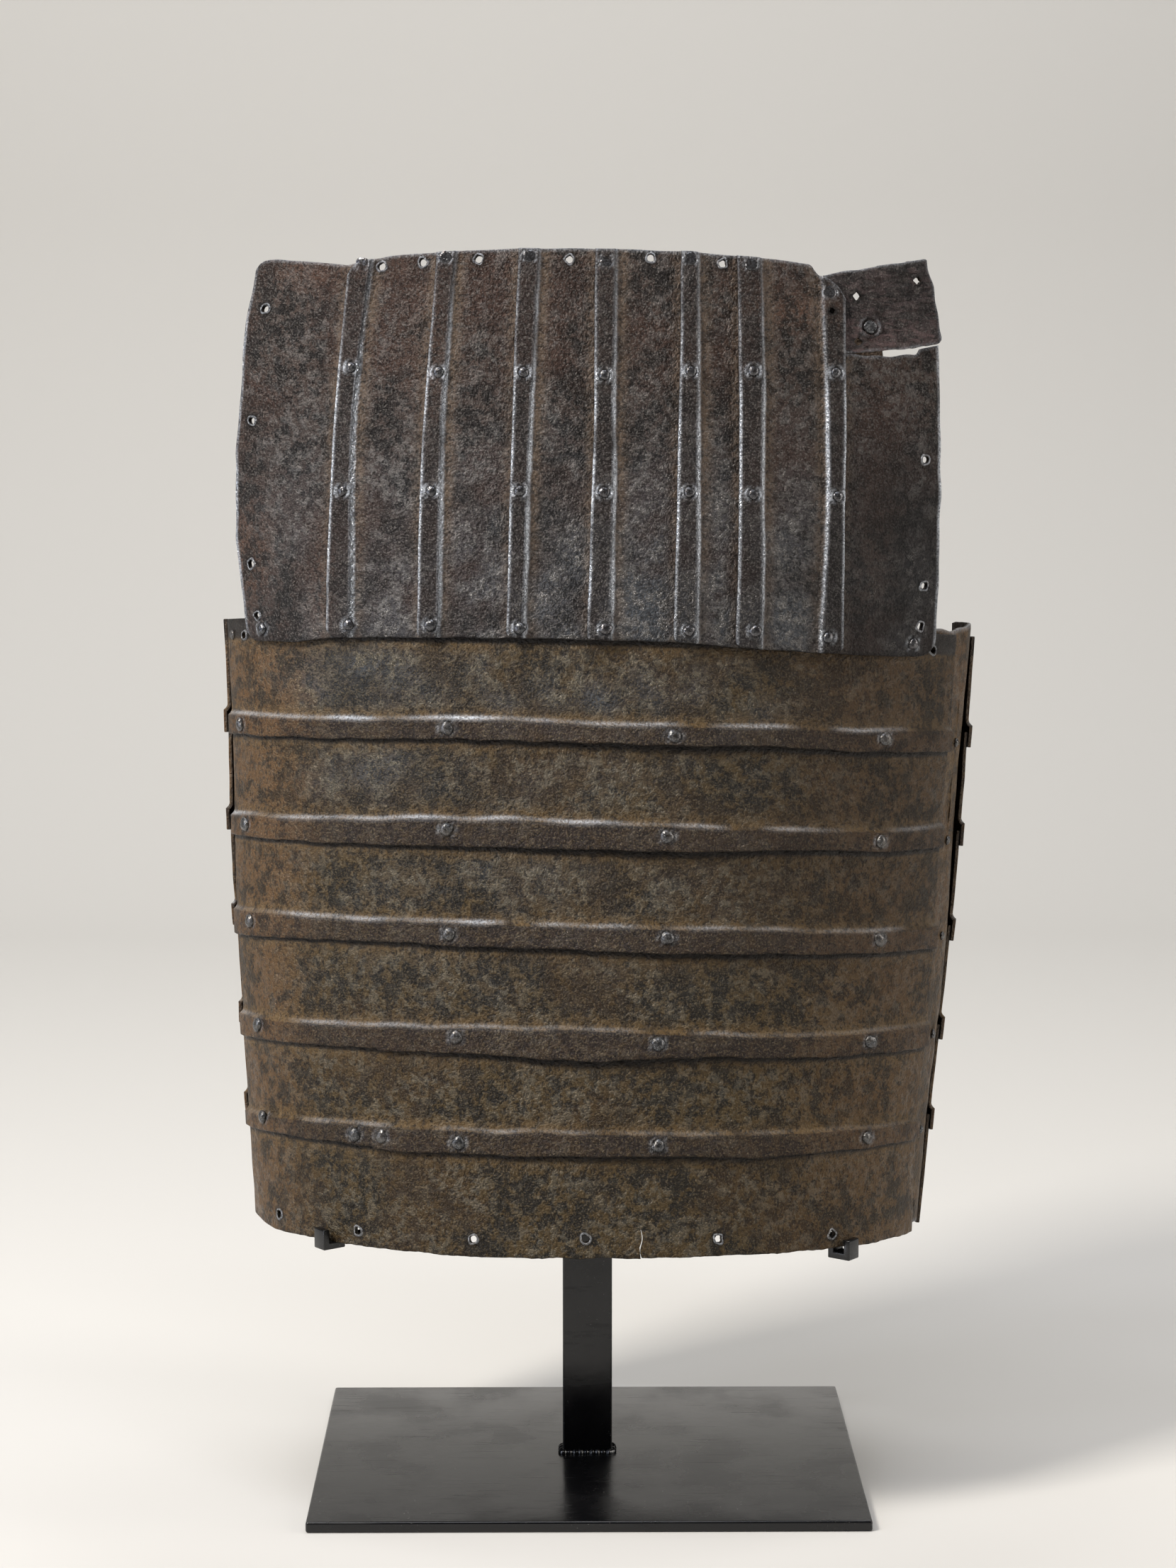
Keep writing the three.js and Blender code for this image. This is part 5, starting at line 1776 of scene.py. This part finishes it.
@dataclass
class DisplayStand:
    """The stand: a base plate with rounded edges, a flat post welded to it, and three arms with hooks."""

    plate_round: float = 1.1
    post_round: float = 0.9
    bead: float = 1.7
    bead_grid: tuple[int, int] = (160, 8)
    arm_round: float = 0.5
    arms: tuple[str, ...] = ("hook_arm_front_left", "hook_arm_front_right", "hook_arm_back")

    def build(self, paint: bpy.types.Material) -> None:
        """Makes the plate, the post with its weld, and the arms, each in the place of its solid.

        Args:
            paint: Their finish.
        """
        dress("base_plate", self.bar("stand_base", self.plate_round), paint, "stand_paint", "stand_base")
        post = self.bar("stand_post", self.post_round).joined(self.weld())
        dress("post", post, paint, "stand_paint", "stand_post")
        for name in self.arms:
            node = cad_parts[name]
            arm = self.rounded(node.data, node.matrix_world, self.arm_round)
            dress(name.replace("hook_arm", "arm"), arm, paint, "stand_paint", name)

    def bar(self, node: str, rounding: float) -> Shell:
        """A block that fills a node's box, with rounded edges.

        Args:
            node: The CAD node.
            rounding: Radius of the edges, in millimetres.

        Returns:
            The block.
        """
        low, high = (np.array(corner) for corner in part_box(node))
        solid = bmesh.new()
        bmesh.ops.create_cube(solid, size=1.0)
        for vertex in solid.verts:
            vertex.co = Vector(low + (np.array(vertex.co) + 0.5) * (high - low))
        edges = solid.edges[:]
        bmesh.ops.bevel(solid, geom=edges, offset=rounding * MM, segments=4, profile=0.5, affect="EDGES")
        return from_bmesh(solid)

    def rounded(self, mesh: bpy.types.Mesh, place: object, rounding: float) -> Shell:
        """A node's own shape with its sharp edges rounded.

        Args:
            mesh: The node's mesh.
            place: The node's matrix.
            rounding: Radius of the edges, in millimetres.

        Returns:
            The rounded shape.
        """
        solid = bmesh.new()
        solid.from_mesh(mesh)
        solid.transform(place)
        bmesh.ops.remove_doubles(solid, verts=solid.verts[:], dist=0.01 * MM)
        flat = math.radians(1.0)
        bmesh.ops.dissolve_limit(solid, angle_limit=flat, verts=solid.verts[:], edges=solid.edges[:])
        sharp = [e for e in solid.edges if e.is_manifold and e.calc_face_angle() > math.radians(30.0)]
        bmesh.ops.bevel(solid, geom=sharp, offset=rounding * MM, segments=3, profile=0.5, affect="EDGES")
        return from_bmesh(solid)

    def weld(self) -> Shell:
        """Makes the bead of weld round the post's foot, of uneven thickness, swept round four sides.

        Returns:
            The bead.
        """
        low, high = (np.array(corner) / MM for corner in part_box("stand_post"))
        around, about = self.bead_grid
        share = np.linspace(0.0, 1.0, around, endpoint=False)
        wide, deep = high[0] - low[0], high[1] - low[1]
        way = share * 2.0 * (wide + deep)
        turns = [0, wide, wide + deep, 2 * wide + deep, 2 * (wide + deep)]
        x = np.interp(way, turns, [0, wide, wide, 0, 0]) + low[0]
        y = np.interp(way, turns, [0, 0, deep, deep, 0]) + low[1]
        wave = 0.22 * np.sin(way * math.tau / 2.6) + 0.12 * np.sin(way * math.tau / 7.3 + 1.0)
        lump = self.bead * (1.0 + wave)
        middle = np.array([(low[0] + high[0]) / 2, (low[1] + high[1]) / 2])
        outward = np.stack([x - middle[0], y - middle[1]], axis=1)
        outward = np.sign(outward) * (np.abs(outward) >= np.array([wide, deep]) / 2 - 0.01)
        outward /= np.maximum(np.linalg.norm(outward, axis=1, keepdims=True), 1.0)
        turn = np.linspace(-0.15, 0.5, about) * math.tau / 1.3
        reach = lump[:, None] * np.cos(turn)[None]
        points = np.stack([
            x[:, None] + outward[:, :1] * reach, y[:, None] + outward[:, 1:] * reach,
            low[2] + 0.0 * reach + np.maximum(lump[:, None] * np.sin(turn)[None], -0.2),
        ], axis=-1)
        index = np.arange(around * about).reshape(around, about)
        ahead = np.roll(index, -1, axis=0)
        side, side_ahead = np.roll(index, -1, axis=1), np.roll(ahead, -1, axis=1)
        quads = np.stack([index, ahead, side_ahead, side], axis=-1).reshape(-1, 4)
        return Shell(points.reshape(-1, 3) * MM, quads)


def from_bmesh(solid: bmesh.types.BMesh) -> Shell:
    """Makes a shell of a worked solid, all in triangles, and frees the solid.

    Args:
        solid: The solid, in metres.

    Returns:
        The shell.
    """
    bmesh.ops.triangulate(solid, faces=solid.faces[:])
    bmesh.ops.recalc_face_normals(solid, faces=solid.faces[:])
    solid.verts.ensure_lookup_table()
    points = np.array([v.co[:] for v in solid.verts])
    triangles = np.array([[v.index for v in f.verts] for f in solid.faces])
    solid.free()
    return Shell(points, np.zeros((0, 4), int), triangles)


@dataclass(frozen=True)
class Lamp:
    """A soft area light: where it stands and points, its size in metres, its power in watts, its colour."""

    name: str
    at: tuple[float, float, float]
    towards: tuple[float, float, float]
    size: tuple[float, float]
    power: float
    colour: str = "#ffffff"

    def build(self) -> None:
        """Adds the light."""
        data = bpy.data.lights.new(self.name, "AREA")
        data.shape, (data.size, data.size_y) = "RECTANGLE", self.size
        data.energy, data.color = self.power, linear(self.colour)[:3]
        made = bpy.data.objects.new(self.name, data)
        made.location = self.at
        made.rotation_euler = (Vector(self.towards) - Vector(self.at)).to_track_quat("-Z", "Y").to_euler()
        bpy.context.scene.collection.objects.link(made)


@dataclass
class Studio:
    """A pale sweep of floor and back wall, soft lamps on both sides, and the camera of the photograph."""

    lens: float = 76.93
    camera_at: tuple[float, float, float] = (-0.013, -1.526, 0.504)
    pitch: float = math.radians(6.87)
    yaw: float = math.radians(0.50)
    floor_colour: str = "#c9c7c3"
    world_colour: str = "#e6e9ee"
    world_strength: float = 0.12
    sweep_sizes: tuple[float, float, float] = (0.7, 1.5, 6.0)  # radius of the bend, its place, half width
    lamps: tuple[Lamp, ...] = (
        Lamp("key", (-1.35, -1.0, 1.9), (0.0, -0.05, 0.34), (0.45, 0.6), 58.0, "#fff9f0"),
        Lamp("over", (-0.15, -0.5, 2.0), (-0.05, -0.1, 0.3), (1.2, 0.25), 10.0, "#f4f6ff"),
        Lamp("side_left", (-1.3, -0.5, 0.5), (0.0, 0.0, 0.34), (0.2, 1.2), 7.0, "#e4ecff"),
        Lamp("side_right", (1.3, -0.3, 0.7), (0.0, 0.0, 0.38), (0.3, 1.2), 9.0, "#fffaf4"),
        Lamp("sweep_wash", (0.0, 0.9, 2.7), (0.0, 1.3, 0.0), (3.2, 1.0), 44.0),
    )

    def build(self) -> None:
        """Lays the sweep, lights it, and sets the camera."""
        self.sweep()
        for lamp in self.lamps:
            lamp.build()
        scene = bpy.context.scene
        scene.world = bpy.data.worlds.new("room")
        scene.world.use_nodes = True
        background = scene.world.node_tree.nodes["Background"]
        background.inputs["Color"].default_value = linear(self.world_colour)
        background.inputs["Strength"].default_value = self.world_strength
        scene.view_settings.view_transform = "Standard"
        data = bpy.data.cameras.new("camera")
        data.lens, data.sensor_width, data.sensor_fit = self.lens, 36.0, "AUTO"
        data.clip_start, data.clip_end = 0.05, 30.0
        camera = bpy.data.objects.new("camera", data)
        level = math.cos(self.pitch)
        way = Vector((math.sin(self.yaw) * level, math.cos(self.yaw) * level, -math.sin(self.pitch)))
        camera.location = self.camera_at
        camera.rotation_euler = way.to_track_quat("-Z", "Y").to_euler()
        scene.collection.objects.link(camera)
        scene.camera = camera

    def sweep(self) -> None:
        """Lays a floor that bends up into a wall behind: level, a quarter of a circle, and upright."""
        radius, back, wide = self.sweep_sizes
        turn = np.linspace(0.0, math.pi / 2, 33)
        bend = back + radius * np.sin(turn[1:])
        y = np.concatenate([[-4.0], np.linspace(-3.0, back, 12), bend, [back + radius]])
        z = np.concatenate([[0.0], np.zeros(12), radius * (1.0 - np.cos(turn[1:])), [4.0]])
        points = np.array([[x, a, b] for x in (-wide, wide) for a, b in zip(y, z)])
        count = len(y)
        low = np.arange(count - 1)
        quads = np.stack([low, low + count, low + count + 1, low + 1], axis=1)
        g = Graph("studio_paper_matt")
        g.feed(g.shader, {"Base Color": self.floor_colour, "Roughness": 0.9})
        add_mesh("floor_sweep", Shell(points, quads), g.material)


def main() -> None:
    """Builds the finishes, every sub-assembly and the studio, in order."""
    logging.basicConfig(level=logging.INFO, format="%(message)s")
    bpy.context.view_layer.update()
    chest, waist, plate = CHEST_IRON.build(), WAIST_IRON.build(), PATCH_IRON.build()
    groups = (
        (WaistFront(), waist, "waist_iron"),
        (ChestFront(), chest, "chest_iron"),
        (RepairPatch(), plate, "patch_iron"),
        (SideStrips(), waist, "waist_iron"),
        (Back(), waist, "waist_iron"),
    )
    for group, finish, slot in groups:
        for name, shell in group.pieces().items():
            own, own_slot = (chest, "chest_iron") if name == "upper_back_plate" else (finish, slot)
            shell.points = PLACING.place(shell.points) * MM
            dress(f"{name}_iron", shell, own, own_slot, name)
    DisplayStand().build(GlossPaint().build())
    Studio().build()


if __name__ == "__main__":
    main()
